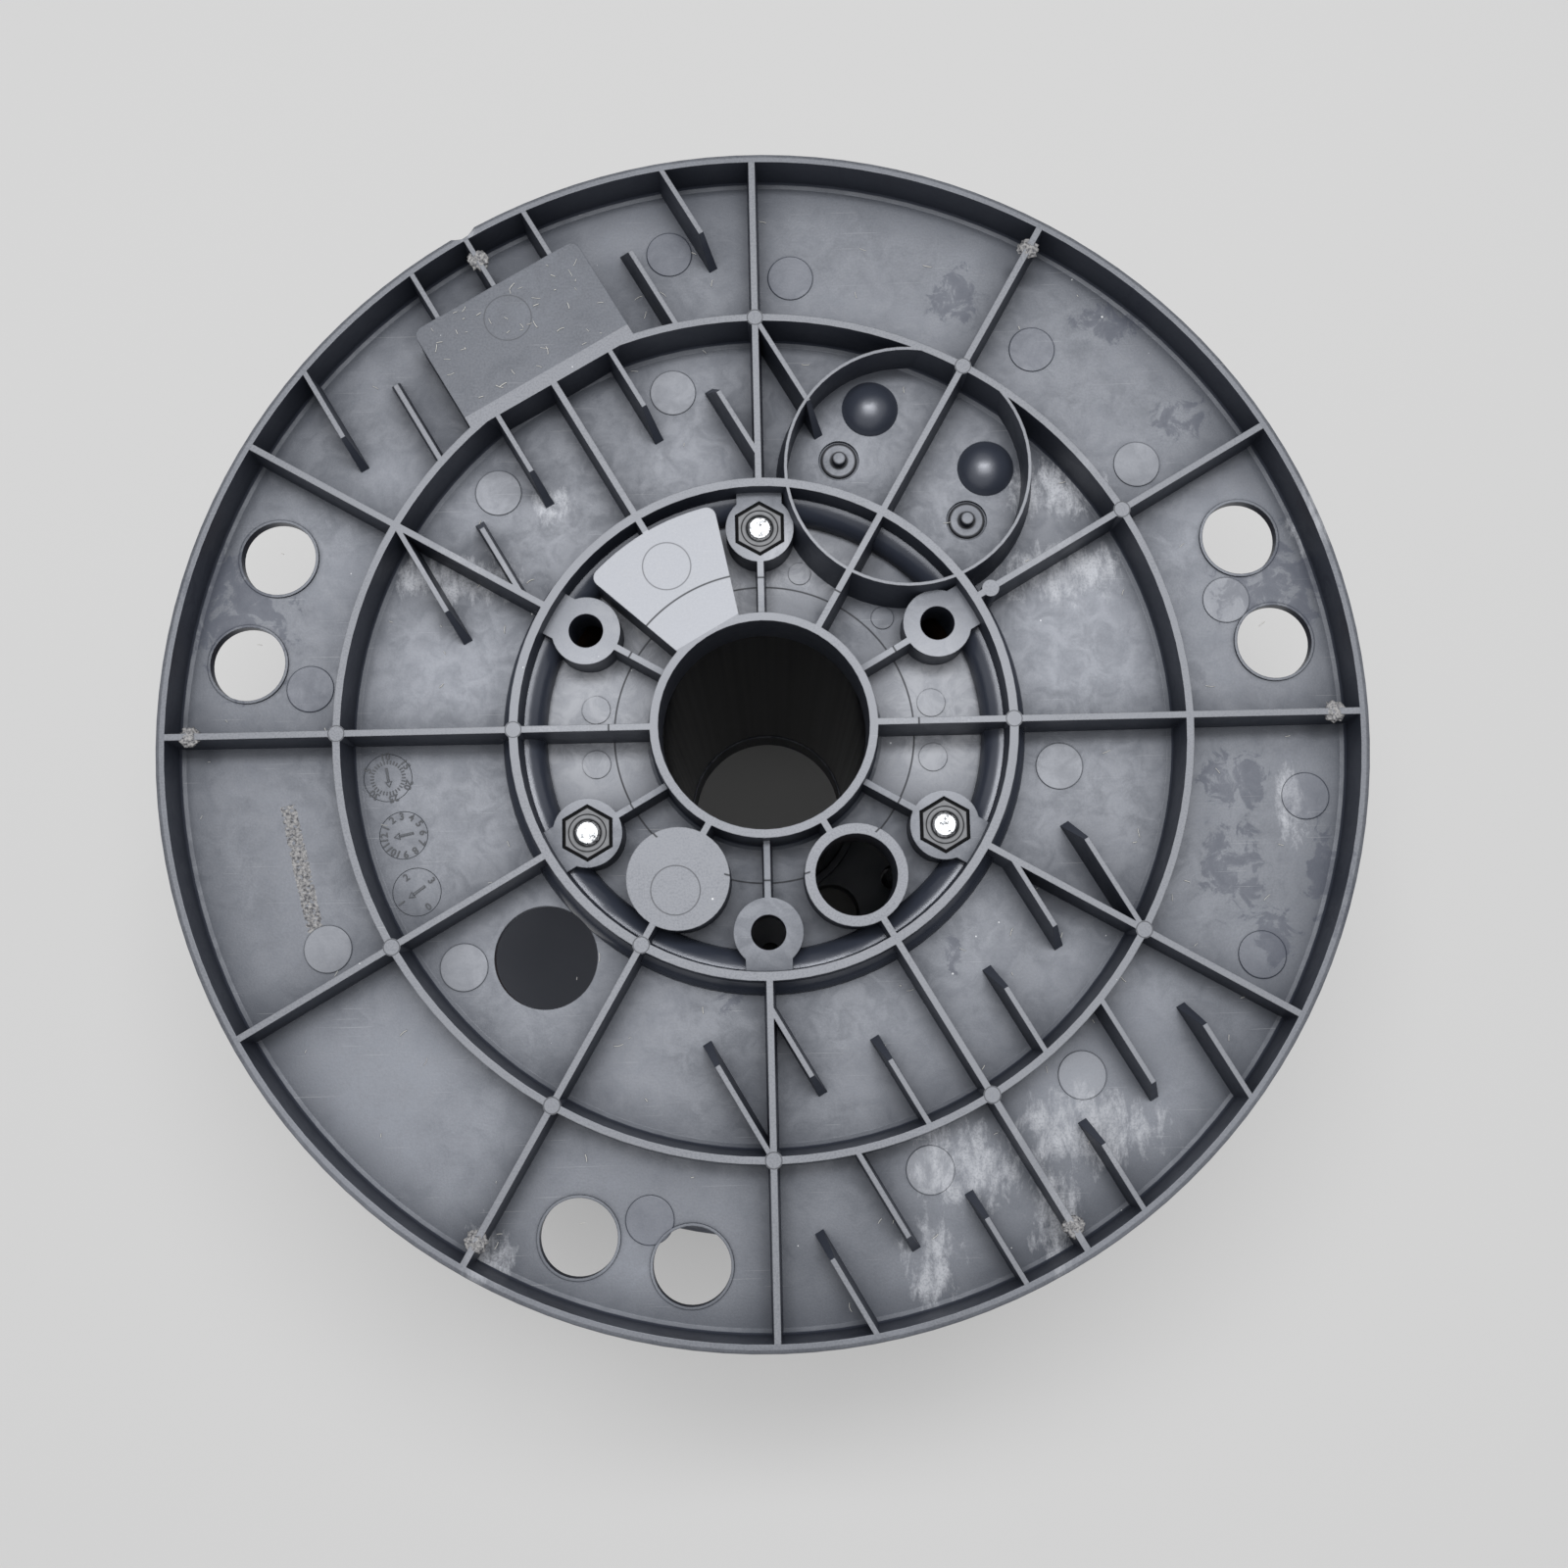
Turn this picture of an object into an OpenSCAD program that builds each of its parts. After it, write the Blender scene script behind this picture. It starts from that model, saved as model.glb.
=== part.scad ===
// Empty cable reel, standing on one flange. Two alike moulded flanges, ribbed on
// their outer faces, hold a fibre barrel and an arbor tube between them, and three
// long bolts draw the flanges together. One flange is turned over, so each bolt
// has its head on a plain boss and its nut in a hexagon pocket.

/* [Reel] */
// Width over the rib tops of both flanges
reel_w = 196.85; // [140:0.05:240]
// Outer diameter of a flange
flange_d = 298.45; // [292:0.05:320]

/* [Barrel and arbor] */
// Outer diameter of the barrel tube
barrel_d = 127; // [123:0.5:130]
// Wall of the barrel tube
barrel_wall = 6; // [4:0.25:7]
// Play on each side of the barrel in its groove
barrel_play = 0.25; // [0.1:0.05:0.5]
// Diameter of the bore in each flange
bore_d = 52; // [46:0.5:54]
// Wall of the sleeve round the bore
sleeve_wall = 2.1; // [1.6:0.1:3]
// Wall of the arbor tube
arbor_wall = 3; // [2:0.25:3.5]
// Step from the flange bore out to the inside of the arbor tube
arbor_step = 0.4; // [0.2:0.1:1]
// Play of the arbor tube in its collar
arbor_play = 0.25; // [0.1:0.05:0.5]

/* [Flange plate] */
// Wall of the rim
rim_wall = 2.5; // [2:0.1:4]
// Reach of the broken outer edges of the rim
rim_round = 1.2; // [0.3:0.1:1.6]
// Thickness of the web and the hub floor
web_t = 2.8; // [2.2:0.1:3.2]
// Depth of the web below the rib tops, at the rim
web_depth_out = 11.4; // [10.8:0.1:12.4]
// Depth of the web below the rib tops, beside the barrel
web_depth_in = 13.2; // [12.5:0.1:13.4]
// Depth of the hub floor below the rib tops
hub_depth = 14.6; // [13.6:0.1:16]
// Reach of the fillets at the foot of the ring walls
foot_round = 1.2; // [0.6:0.1:2]
// Height of the locating rings below the hub floor
locator_h = 4.5; // [2:0.25:8]
// Wall of the locating rings
locator_wall = 2.4; // [1.6:0.1:3]

/* [Ribs] */
// Middle radius of the outer ring rib
outer_ring_r = 104.8; // [102:0.1:110]
// Thickness of the outer ring rib at its top
outer_ring_t = 1.85; // [1.4:0.05:3]
// Thickness of the inner ring rib, over the barrel, at its top
inner_ring_t = 2.2; // [1.6:0.1:3]
// Step from the middle of the barrel wall out to the inner ring rib
inner_ring_step = 1; // [0:0.1:1.2]
// Thickness of the spokes at their tops
spoke_t = 1.65; // [1.2:0.05:2.6]
// Widening of a rib on each side, from its top down to its root
rib_draft = 0.6; // [0.1:0.05:0.7]
// Width of the rounded bead over the barrel's groove
bead_w = 11; // [10.5:0.1:12]
// Wall left between the bead's crown and the groove
bead_wall = 3.5; // [2.5:0.1:4.5]
// Thickness of the slanting ribs at their tops
slant_t = 1.25; // [0.9:0.05:2]
// Spacing of the slanting ribs
slant_pitch = 18; // [16:0.1:20]
// Radius at which the slanting ribs of the outer zone end
slant_end_out_r = 128.2; // [124:0.1:131]
// Radius at which the slanting ribs of the middle zone end
slant_end_mid_r = 85.7; // [83:0.1:89]
// Run of the sloping end of a slanting rib
slant_run = 6.2; // [2:0.1:7.2]
// Diameter of the round knobs where ribs meet
knob_d = 4.3; // [3:0.1:6]

/* [Pads] */
// Width of the raised label pad
pad_w = 47.6; // [40:0.1:52]
// Distance from the axis to the outer edge of the label pad
pad_out = 132.4; // [126:0.1:138]
// Radius of the corners of both pads
pad_round = 2.4; // [1:0.1:4]
// Outer radius of the wedge-shaped hub pad
hub_pad_r = 56.8; // [54:0.1:57]
// Middle radius of the thin circular rib
circle_r = 30.7; // [26:0.1:31]
// Distance from the axis to the middle of the thin circular rib
circle_at = 75.1; // [74:0.1:77]
// Thickness of the thin circular rib at its top
circle_t = 0.8; // [0.6:0.1:1.6]
// Spread of the circular rib's outer side, from its top down to its root
circle_draft = 2; // [0.2:0.1:2.4]
// Diameter of the domed buttons inside the circular rib
dome_d = 14.6; // [10:0.1:16]
// Height of the domed buttons
dome_h = 4; // [2:0.1:6]
// Diameter of the ring groove round each stud
stud_ring_d = 10.4; // [8:0.1:12]
// Width and depth of the ring groove round each stud
stud_groove = 0.6; // [0.3:0.1:1]
// Diameter of the small studs
stud_d = 3.4; // [2:0.1:4]
// Height of the small studs
stud_h = 2.2; // [1:0.1:4]

/* [Bolts] */
// Distance from the inside of the barrel to the bolt circle
bolt_inset = 6.7; // [6:0.1:9]
// Diameter of the bolts
bolt_d = 6.35; // [5:0.05:8]
// Diameter of the plain bolt holes
bolt_hole_d = 8.6; // [8.2:0.1:9.4]
// Play on each side of a bolt below its nut
bolt_play = 0.25; // [0.1:0.05:0.5]
// Size across the flats of a nut
nut_flats = 11.9; // [10:0.1:12.6]
// Height of a nut
nut_h = 5.6; // [4:0.1:7]
// Play on each side of a nut in its pocket
nut_play = 0.2; // [0.1:0.05:0.4]
// Size across the flats of a bolt head
head_flats = 11.1; // [10:0.1:13]
// Height of a bolt head
head_h = 4; // [2.5:0.1:4.4]
// Length of bolt that shows past its nut
bolt_proud = 0.6; // [0.2:0.1:3]
// Diameter of the bolt bosses
boss_d = 17.2; // [16.6:0.1:18]
// Depth of the boss tops below the rib tops
boss_depth = 4.5; // [4.4:0.1:6]
// Width of the neck between a boss and the inner ring rib
boss_neck_w = 11.5; // [8:0.5:14]
// Chamfer at the end of a bolt
bolt_chamfer = 0.6; // [0.2:0.1:1]
// Height of the chamfered corners of nuts and heads
corner_chamfer = 0.8; // [0.3:0.1:1.2]

/* [Wear] */
// Length of the chip in the rim of the upper flange
chip_w = 7.9; // [4:0.1:10]
// Depth of that chip
chip_depth = 1.8; // [0.5:0.1:2]
// Height of that chip
chip_h = 5; // [2:0.1:8]

/* [Holes] */
// Diameter of the drive hole
drive_hole_d = 20; // [16:0.5:21]
// Wall round the drive hole
drive_wall = 2.6; // [2:0.1:3]
// Radius from the axis to the drive hole
drive_r = 43.3; // [43:0.1:44]
// Diameter of the hole for the cable's inner end
cable_hole_d = 25.6; // [20:0.1:26.5]
// Radius from the axis to the cable hole
cable_hole_r = 78.4; // [78:0.1:85]
// Diameter of the finger holes
finger_hole_d = 19; // [15:0.5:20]
// Radius from the axis to the finger holes
finger_hole_r = 132; // [130:0.1:133]
// Wall of the low lip round each finger hole
lip_wall = 0.7; // [0.4:0.1:1.2]
// Height of the lip round each finger hole
lip_h = 0.4; // [0.2:0.1:1]

/* [Hidden] */
$fn = 96;
// Overrun of every cut past the face that it opens
over = 1;

// Angles of the layout, seen on the outer face
spoke_step = 30;
nut_angles = [90, 210, 330];
plain_angles = [30, 150, 270];
hub_spoke_angles = [0, 60, 180];
drive_angle = 300;
blind_angle = 240;
cable_hole_angle = 225;
finger_pair_angles = [15, 165, 255];
finger_spread = 6.15;
slant_angle = 300;
outer_knob_angles = [30, 60, 90, 180, 210, 240, 270, 300, 330];
inner_knob_angles = [0, 180, 240];
circle_angle = 60;
hub_pad_angle = 120;
hub_pad_half_angle = 18.5;
button_spread = 16.5;
chip_angle = 119.9;

// Sizes that follow from the barrel and the bore
flange_r = flange_d / 2;
barrel_r = barrel_d / 2;
barrel_in_r = barrel_r - barrel_wall;
barrel_mid_r = barrel_r - barrel_wall / 2;
bolt_circle_r = barrel_in_r - bolt_inset;
boss_spoke_end = bolt_circle_r - (boss_d + bolt_hole_d) / 4;
bore_r = bore_d / 2;
sleeve_r = bore_r + sleeve_wall;
arbor_in_r = bore_r + arbor_step;
arbor_r = arbor_in_r + arbor_wall;
collar_in_r = arbor_r + arbor_play;
locator_r = barrel_in_r - barrel_play;
groove_out_r = barrel_r + barrel_play;

// Heights in a flange, measured down from the rib tops
hub_back = hub_depth + web_t;
rim_back = web_depth_out + web_t;
rim_soft = rim_round * (1 - cos(45));
foot_soft = foot_round * (1 - cos(45));
foot_bite = foot_soft / 3;
locator_end = hub_back + locator_h;
bead_in_r = barrel_mid_r - bead_w / 2;
bead_out_r = barrel_mid_r + bead_w / 2;
bead_crown = web_depth_in - bead_w / 2;
groove_top = bead_crown + bead_wall;
inner_ring_r = barrel_mid_r + inner_ring_step;
rib_root = (web_depth_in + web_depth_out + web_t) / 2;
hub_root = hub_depth + web_t / 2;

// Heights of the fasteners, measured up from the floor
nut_top = reel_w - boss_depth;
bolt_end = nut_top + bolt_proud;
head_seat = boss_depth;
shank_r = bolt_d / 2;
corner_ratio = cos(180 / 6);

// Places along and across the line of the circular rib, as shares of its radius
dome_shares = [[0.42, 0.55], [0.43, -0.553]];
stud_shares = [[-0.103, 0.567], [-0.044, -0.623]];
// Radii at which the slanting ribs end, as shares of their zone's end radius
slant_out_shares = [1.002, 0.992, 1.0085];
slant_mid_shares = [0.973, 1.0035, 1.0115];
// Outline of the chip, as shares of its depth and its length
chip_shares = [[0, 0.5], [0.65, 0.32], [1, 0.13], [0.93, -0.1], [0.65, -0.26], [0, -0.5]];
// Places of the low discs in the hub, as shares of the bolt circle's radius
button_share = 0.84;
hub_disc_shares = [0.84, 0.138];
// Diameters and height of those discs
button_d = 5.8;
hub_disc_d = 7.2;
disc_h = 0.3;
// Step from the inner ring rib out to the knob at the first spoke
stray_knob_step = 4.4;

// Profile of one flange turned about its axis: rim, web, hub floor and sleeve
module plate_profile() {
    polygon([
        [bore_r, 0],
        [sleeve_r, 0],
        [sleeve_r + rib_draft, -hub_depth],
        [bead_in_r, -hub_depth],
        [bead_out_r, -web_depth_in],
        [flange_r - rim_wall, -web_depth_out],
        [flange_r - rim_wall, 0],
        [flange_r - rim_round, 0],
        [flange_r - rim_soft, -rim_soft],
        [flange_r, -rim_round],
        [flange_r, rim_round - rim_back],
        [flange_r - rim_soft, rim_soft - rim_back],
        [flange_r - rim_round, -rim_back],
        [bead_out_r, -web_depth_in - web_t],
        [bead_in_r, -hub_back],
        [bore_r, -hub_back]
    ]);
}

// Two-step fillet in the corner of a wall at radius r and the floor at depth d, starting
// inside the wall; side is 1 where the floor lies outside the wall and -1 where it lies inside
module foot(r, d, side) {
    polygon([
        [r - side * foot_round, foot_round - d],
        [r - side * foot_bite, foot_round - d],
        [r + side * foot_soft, foot_soft - d],
        [r + side * (foot_round + foot_round - foot_soft), -d - foot_soft],
        [r - side * foot_round, -d - foot_soft]
    ]);
}

// Depth of the web's outer face at radius r
function web_depth(r) = web_depth_in
    + (web_depth_out - web_depth_in) * (r - bead_out_r) / (flange_r - rim_wall - bead_out_r);

// Offset of slanting rib k from the line through the drive hole
function slant_at(k) = outer_ring_r * sin(spoke_step) - k * slant_pitch;

// Distances along a slanting rib at offset s to the rim, the outer ring rib and an end circle
function rim_reach(s) = sqrt(pow(flange_r - rim_wall / 2, 2) - s * s);
function ring_reach(s) = sqrt(outer_ring_r * outer_ring_r - s * s);
function end_reach(r, s) = sqrt(r * r - s * s);

// Offset of the outer ribs between the label pad and the rim
pad_rib_at = slant_at(2);

// Widening of a rib's side at a depth below its top
function draft_at(depth) = rib_draft * depth / rib_root;

// Section of a rib whose top is t thick, from depth top down to depth root
module rib_section(t, root, top) {
    wide = t / 2 + draft_at(root - top);
    polygon([
        [-wide, -root],
        [wide, -root],
        [t / 2, -top],
        [-t / 2, -top]
    ]);
}

// Ring wall with fillets at its foot
module ring_rib_profile(r, t, depth) {
    side_at = t / 2 + draft_at(depth - foot_round);
    translate([r, 0])
        rib_section(t, rib_root, 0);
    foot(r + side_at, depth, 1);
    foot(r - side_at, depth, -1);
}

// Locating ring below the hub floor, between two radii
module locator_profile(r_in, r_out) {
    translate([r_in, -locator_end])
        square([r_out - r_in, locator_end - hub_root]);
}

// Everything of a flange that is turned about the axis
module turned_flange() {
    rotate_extrude() {
        plate_profile();
        translate([barrel_mid_r, -web_depth_in])
            circle(bead_w / 2);
        translate([inner_ring_r, 0])
            rib_section(inner_ring_t, groove_top, 0);
        ring_rib_profile(outer_ring_r, outer_ring_t, web_depth(outer_ring_r));
        foot(flange_r - rim_wall, web_depth_out, -1);
        foot(sleeve_r + rib_draft * (hub_depth - foot_round) / hub_depth, hub_depth, 1);
        locator_profile(locator_r - locator_wall, locator_r);
        locator_profile(collar_in_r, collar_in_r + locator_wall);
    }
}

// Groove that seats the barrel, open to the winding side, and the clear space outside it
module groove_cut() {
    rotate_extrude() {
        translate([locator_r, -locator_end - over])
            square([groove_out_r - locator_r, locator_end + over - groove_top]);
        translate([groove_out_r - over, -locator_end - over])
            square([bead_w, locator_end + over - web_depth_in - web_t]);
    }
}

// Straight rib along +X, from x_from to x_to, with its top at depth top
module spoke(x_from, x_to, t, root, top) {
    translate([x_from, 0, 0])
        rotate([90, 0, 90])
            linear_extrude(x_to - x_from)
                rib_section(t, root, top);
}

// Thin circular rib down to depth root, upright inside and spread outside
module circle_rib(root) {
    rotate(circle_angle)
        translate([circle_at, 0, 0])
            rotate_extrude()
                polygon([
                    [circle_r - circle_t / 2, -root],
                    [circle_r + circle_t / 2 + circle_draft * root / rib_root, -root],
                    [circle_r + circle_t / 2, 0],
                    [circle_r - circle_t / 2, 0]
                ]);
}

// The circular rib on the web and, deeper, on the hub floor
module circle_ribs() {
    intersection() {
        circle_rib(rib_root);
        translate([0, 0, -rib_root - over])
            cylinder(r = outer_ring_r, h = rib_root + over + over);
    }
    intersection() {
        circle_rib(hub_root);
        translate([0, 0, -hub_root - over])
            cylinder(r = inner_ring_r, h = hub_root + over + over);
    }
}

// Plan of the label pad, along +X of the slanting ribs, with round outer corners
module pad_plan(half_w, x_from, x_to, round) {
    translate([-x_to, round - half_w])
        square([x_to - x_from, half_w + half_w - round - round]);
    translate([round - x_to, -half_w])
        square([x_to - x_from - round, half_w + half_w]);
    for (side = [-1, 1])
        translate([round - x_to, side * (half_w - round)])
            circle(round);
}

// Half-plane wedge about +X, with its point moved along +X by ahead
module wedge_plan(half_angle, ahead) {
    reach = flange_r;
    polygon([
        [ahead, 0],
        [ahead + reach * cos(half_angle), reach * sin(half_angle)],
        [ahead + reach * cos(half_angle), -reach * sin(half_angle)]
    ]);
}

// Points of an arc about a centre
function arc(centre, r, a_from, a_to, steps) =
    [for (i = [0 : steps]) let (a = a_from + (a_to - a_from) * i / steps) centre + r * [cos(a), sin(a)]];

// Plan of the hub pad about +X, a sector with round outer corners
module hub_pad_plan() {
    corner_r = hub_pad_r - pad_round;
    turn = hub_pad_half_angle - asin(pad_round / corner_r);
    low = corner_r * [cos(turn), -sin(turn)];
    high = corner_r * [cos(turn), sin(turn)];
    difference() {
        polygon(concat(
            [[0, 0]],
            arc(low, pad_round, -hub_pad_half_angle - 90, -turn, 5),
            arc([0, 0], hub_pad_r, -turn + 1, turn - 1, 10),
            arc(high, pad_round, turn, hub_pad_half_angle + 90, 5)
        ));
        circle(bore_r + sleeve_wall / 2);
    }
}

// Spokes of the web, and the short ribs between the label pad and the rim
module web_spokes() {
    for (a = [0 : spoke_step : 360 - spoke_step])
        let (reach = a == hub_pad_angle ? outer_ring_r : flange_r - rim_wall / 2)
            rotate(a)
                spoke(inner_ring_r, reach, spoke_t, rib_root, 0);
    rotate(slant_angle)
        for (s = [-pad_rib_at, 0, pad_rib_at])
            translate([0, s, 0])
                spoke(-rim_reach(s), pad_round - pad_out, slant_t, rib_root, 0);
}

// Plan of the knobs and the label pad, which stand on the web up to the rib tops
module web_plan() {
    for (a = outer_knob_angles)
        rotate(a)
            translate([outer_ring_r, 0])
                circle(d = knob_d);
    for (a = inner_knob_angles)
        rotate(a)
            translate([inner_ring_r, 0])
                circle(d = knob_d);
    rotate(plain_angles[0])
        translate([inner_ring_r + stray_knob_step, 0])
            circle(d = knob_d);
    rotate(slant_angle)
        pad_plan(pad_w / 2, ring_reach(pad_w / 2), pad_out, pad_round);
}

// Spokes of the hub, and the lower ones between the sleeve and the bosses
module hub_spokes() {
    for (a = concat(hub_spoke_angles, [drive_angle, blind_angle]))
        rotate(a)
            spoke(sleeve_r - sleeve_wall / 2, inner_ring_r, spoke_t, hub_root, 0);
    rotate(hub_pad_angle)
        spoke(hub_pad_r - pad_round, inner_ring_r, spoke_t, hub_root, 0);
    for (a = concat(nut_angles, plain_angles))
        rotate(a)
            spoke(sleeve_r - sleeve_wall / 2, boss_spoke_end, spoke_t, hub_root, boss_depth);
}

// Plan of the drive ring, the closed disc and the hub pad, which stand up to the rib tops
module hub_plan() {
    for (a = [drive_angle, blind_angle])
        rotate(a)
            translate([drive_r, 0])
                circle(d = drive_hole_d + drive_wall + drive_wall);
    rotate(hub_pad_angle)
        hub_pad_plan();
}

// Plan of the bolt bosses, with their necks to the ring rib
module boss_plan() {
    for (a = concat(nut_angles, plain_angles))
        rotate(a) {
            translate([bolt_circle_r, 0])
                circle(d = boss_d);
            translate([bolt_circle_r, -boss_neck_w / 2])
                square([inner_ring_r - bolt_circle_r, boss_neck_w]);
        }
}

// Plan of every hole that goes right through a flange
module hole_plan() {
    for (a = nut_angles)
        rotate(a)
            translate([bolt_circle_r, 0])
                circle(d = bolt_d + bolt_play + bolt_play);
    for (a = plain_angles)
        rotate(a)
            translate([bolt_circle_r, 0])
                circle(d = bolt_hole_d);
    rotate(drive_angle)
        translate([drive_r, 0])
            circle(d = drive_hole_d);
    rotate(cable_hole_angle)
        translate([cable_hole_r, 0])
            circle(d = cable_hole_d);
    for (a = finger_pair_angles, side = [-1, 1])
        rotate(a + side * finger_spread)
            translate([finger_hole_r, 0])
                circle(d = finger_hole_d);
}

// Plan of the hexagon pockets
module pocket_plan() {
    for (a = nut_angles)
        rotate(a)
            translate([bolt_circle_r, 0])
                circle(d = (nut_flats + nut_play + nut_play) / corner_ratio, $fn = 6);
}

// Plan of the hollows that the pads and the closed disc have on the winding side
module hollow_plan() {
    rotate(slant_angle)
        translate([web_t - pad_out, web_t - pad_w / 2])
            square([pad_out - web_t - outer_ring_r - outer_ring_t / 2, pad_w - web_t - web_t]);
    rotate(blind_angle)
        translate([drive_r, 0])
            circle(d = drive_hole_d);
    rotate(hub_pad_angle)
        difference() {
            intersection() {
                circle(min(hub_pad_r - web_t, locator_r - locator_wall));
                wedge_plan(hub_pad_half_angle, web_t / sin(hub_pad_half_angle));
            }
            circle(collar_in_r + locator_wall);
        }
}

// One slanting rib along +X at offset s, upright where it starts and sloping where it ends
module slant(s, x_from, x_end) {
    way = x_end > x_from ? 1 : -1;
    run = way * slant_run;
    beyond = over / rib_root;
    intersection() {
        translate([0, s, 0])
            spoke(min(x_from, x_end + run) - over, max(x_from, x_end + run) + over, slant_t, rib_root, 0);
        translate([0, s + slant_t / 2 + rib_draft + over, 0])
            rotate([90, 0, 0])
                linear_extrude(slant_t + rib_draft + rib_draft + over + over)
                    polygon([
                        [x_from, over],
                        [x_end - run * beyond, over],
                        [x_end + run * (1 + beyond), -rib_root - over],
                        [x_from, -rib_root - over]
                    ]);
    }
}

// The slanting ribs of one quarter: by turns they start at the rim, the outer ring rib or a spoke
module slant_quarter(half, side) {
    for (k = [0 : 2]) {
        s = slant_at(k);
        start_out = k == 1 ? ring_reach(s) : rim_reach(s);
        start_mid = k == 1 ? s / tan(spoke_step) : ring_reach(s);
        if (half > 0 || k != 2)
            slant(side * s, half * start_out, half * end_reach(slant_out_shares[k] * slant_end_out_r, s));
        slant(side * s, half * start_mid, half * end_reach(slant_mid_shares[k] * slant_end_mid_r, s));
    }
}

// All slanting ribs, parallel to the line through the drive hole, ending at the circular rib
module slants() {
    difference() {
        rotate(slant_angle)
            for (half = [-1, 1], side = [-1, 1])
                slant_quarter(half, side);
        rotate(circle_angle)
            translate([circle_at, 0, -rib_root - over])
                cylinder(r = circle_r, h = rib_root + over + over);
    }
}

// Domed button on the web at one place in the circular rib
module dome() {
    ball_r = (dome_d * dome_d / 4 + dome_h * dome_h) / (dome_h + dome_h);
    intersection() {
        translate([0, 0, dome_h - ball_r])
            sphere(ball_r);
        translate([0, 0, -web_t / 2])
            cylinder(d = dome_d, h = web_t + dome_h);
    }
}

// Puts its children on the web at shares of the circular rib's radius
module in_circle(shares) {
    rotate(circle_angle)
        for (place = shares)
            translate([
                circle_at + place[0] * circle_r,
                place[1] * circle_r,
                -web_depth(circle_at + place[0] * circle_r)
            ])
                children();
}

// Low discs on the hub floor
module hub_discs() {
    for (side = [-1, 1])
        rotate(circle_angle + side * button_spread)
            translate([button_share * bolt_circle_r, 0, -hub_root])
                cylinder(d = button_d, h = hub_root - hub_depth + disc_h);
    for (x = [-1, 1], y = [-1, 1])
        translate([
            x * hub_disc_shares[0] * bolt_circle_r,
            y * hub_disc_shares[1] * bolt_circle_r,
            -hub_root
        ])
            cylinder(d = hub_disc_d, h = hub_root - hub_depth + disc_h);
}

// Low lip round a finger hole, standing on the web
module finger_lip() {
    translate([finger_hole_r, 0, -rib_root])
        cylinder(d = finger_hole_d + lip_wall + lip_wall, h = rib_root - web_depth(finger_hole_r) + lip_h);
}

// One moulded flange, its rib tops in the plane z = 0 and its outer face up
module flange() {
    difference() {
        union() {
            turned_flange();
            web_spokes();
            hub_spokes();
            circle_ribs();
            translate([0, 0, -rib_root])
                linear_extrude(rib_root)
                    web_plan();
            translate([0, 0, -hub_root])
                linear_extrude(hub_root)
                    hub_plan();
            translate([0, 0, -hub_root])
                linear_extrude(hub_root - boss_depth)
                    boss_plan();
            slants();
            in_circle(dome_shares)
                dome();
            in_circle(stud_shares)
                translate([0, 0, -web_t / 2])
                    cylinder(d = stud_d, h = stud_h + web_t / 2);
            hub_discs();
            for (a = finger_pair_angles, side = [-1, 1])
                rotate(a + side * finger_spread)
                    finger_lip();
        }
        groove_cut();
        translate([0, 0, -locator_end - over])
            linear_extrude(locator_end + over + over)
                hole_plan();
        translate([0, 0, -boss_depth - nut_h])
            linear_extrude(nut_h + over)
                pocket_plan();
        translate([0, 0, -locator_end - over])
            linear_extrude(locator_end + over - web_t)
                hollow_plan();
        in_circle(stud_shares)
            translate([0, 0, -stud_groove])
                difference() {
                    cylinder(d = stud_ring_d, h = stud_groove + over);
                    translate([0, 0, -over])
                        cylinder(d = stud_ring_d - stud_groove - stud_groove, h = stud_groove + over + over);
                }
    }
}

// Space of the chip broken out of a flange's rim
module chip() {
    rotate(chip_angle)
        translate([0, 0, -chip_h])
            linear_extrude(chip_h + over)
                polygon(concat(
                    [[flange_r + over, -chip_w / 2], [flange_r + over, chip_w / 2]],
                    [for (s = chip_shares) [flange_r - s[0] * chip_depth, s[1] * chip_w]]
                ));
}

// Upper flange, outer face up, with a chip in its rim
module top_flange() {
    color("#3b3c40")
        translate([0, 0, reel_w])
            difference() {
                flange();
                chip();
            }
}

// Lower flange, turned over about the line through the drive hole
module bottom_flange() {
    color("#3b3c40")
        rotate(180, [cos(drive_angle), sin(drive_angle), 0])
            flange();
}

// Wound fibre tube that the cable lies on
module barrel() {
    color("#6b4a34")
        translate([0, 0, groove_top])
            difference() {
                cylinder(r = barrel_r, h = reel_w - groove_top - groove_top);
                translate([0, 0, -over])
                    cylinder(r = barrel_in_r, h = reel_w - groove_top - groove_top + over + over);
            }
}

// Smooth tube round the arbor, between the two hub floors
module arbor_tube() {
    color("#1b1c20")
        translate([0, 0, hub_back])
            difference() {
                cylinder(r = arbor_r, h = reel_w - hub_back - hub_back);
                translate([0, 0, -over])
                    cylinder(r = arbor_in_r, h = reel_w - hub_back - hub_back + over + over);
            }
}

// Hexagon with chamfered corners on its upper end, from z = 0
module hexagon(flats, h) {
    intersection() {
        cylinder(d = flats / corner_ratio, h = h, $fn = 6);
        rotate_extrude()
            polygon([
                [0, 0],
                [flats, 0],
                [flats, h - corner_chamfer],
                [flats / corner_ratio / 2, h - corner_chamfer],
                [flats / 2 - corner_chamfer / 2, h],
                [0, h]
            ]);
    }
}

// Through bolt at one angle, its head on the lower flange
module bolt(a) {
    color("#b9bdc4")
        rotate(a)
            translate([bolt_circle_r, 0, 0]) {
                translate([0, 0, head_seat])
                    rotate([180, 0, 0])
                        hexagon(head_flats, head_h);
                rotate_extrude()
                    polygon([
                        [0, head_seat - head_h / 2],
                        [shank_r, head_seat - head_h / 2],
                        [shank_r, bolt_end - bolt_chamfer],
                        [shank_r - bolt_chamfer, bolt_end],
                        [0, bolt_end]
                    ]);
            }
}

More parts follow.
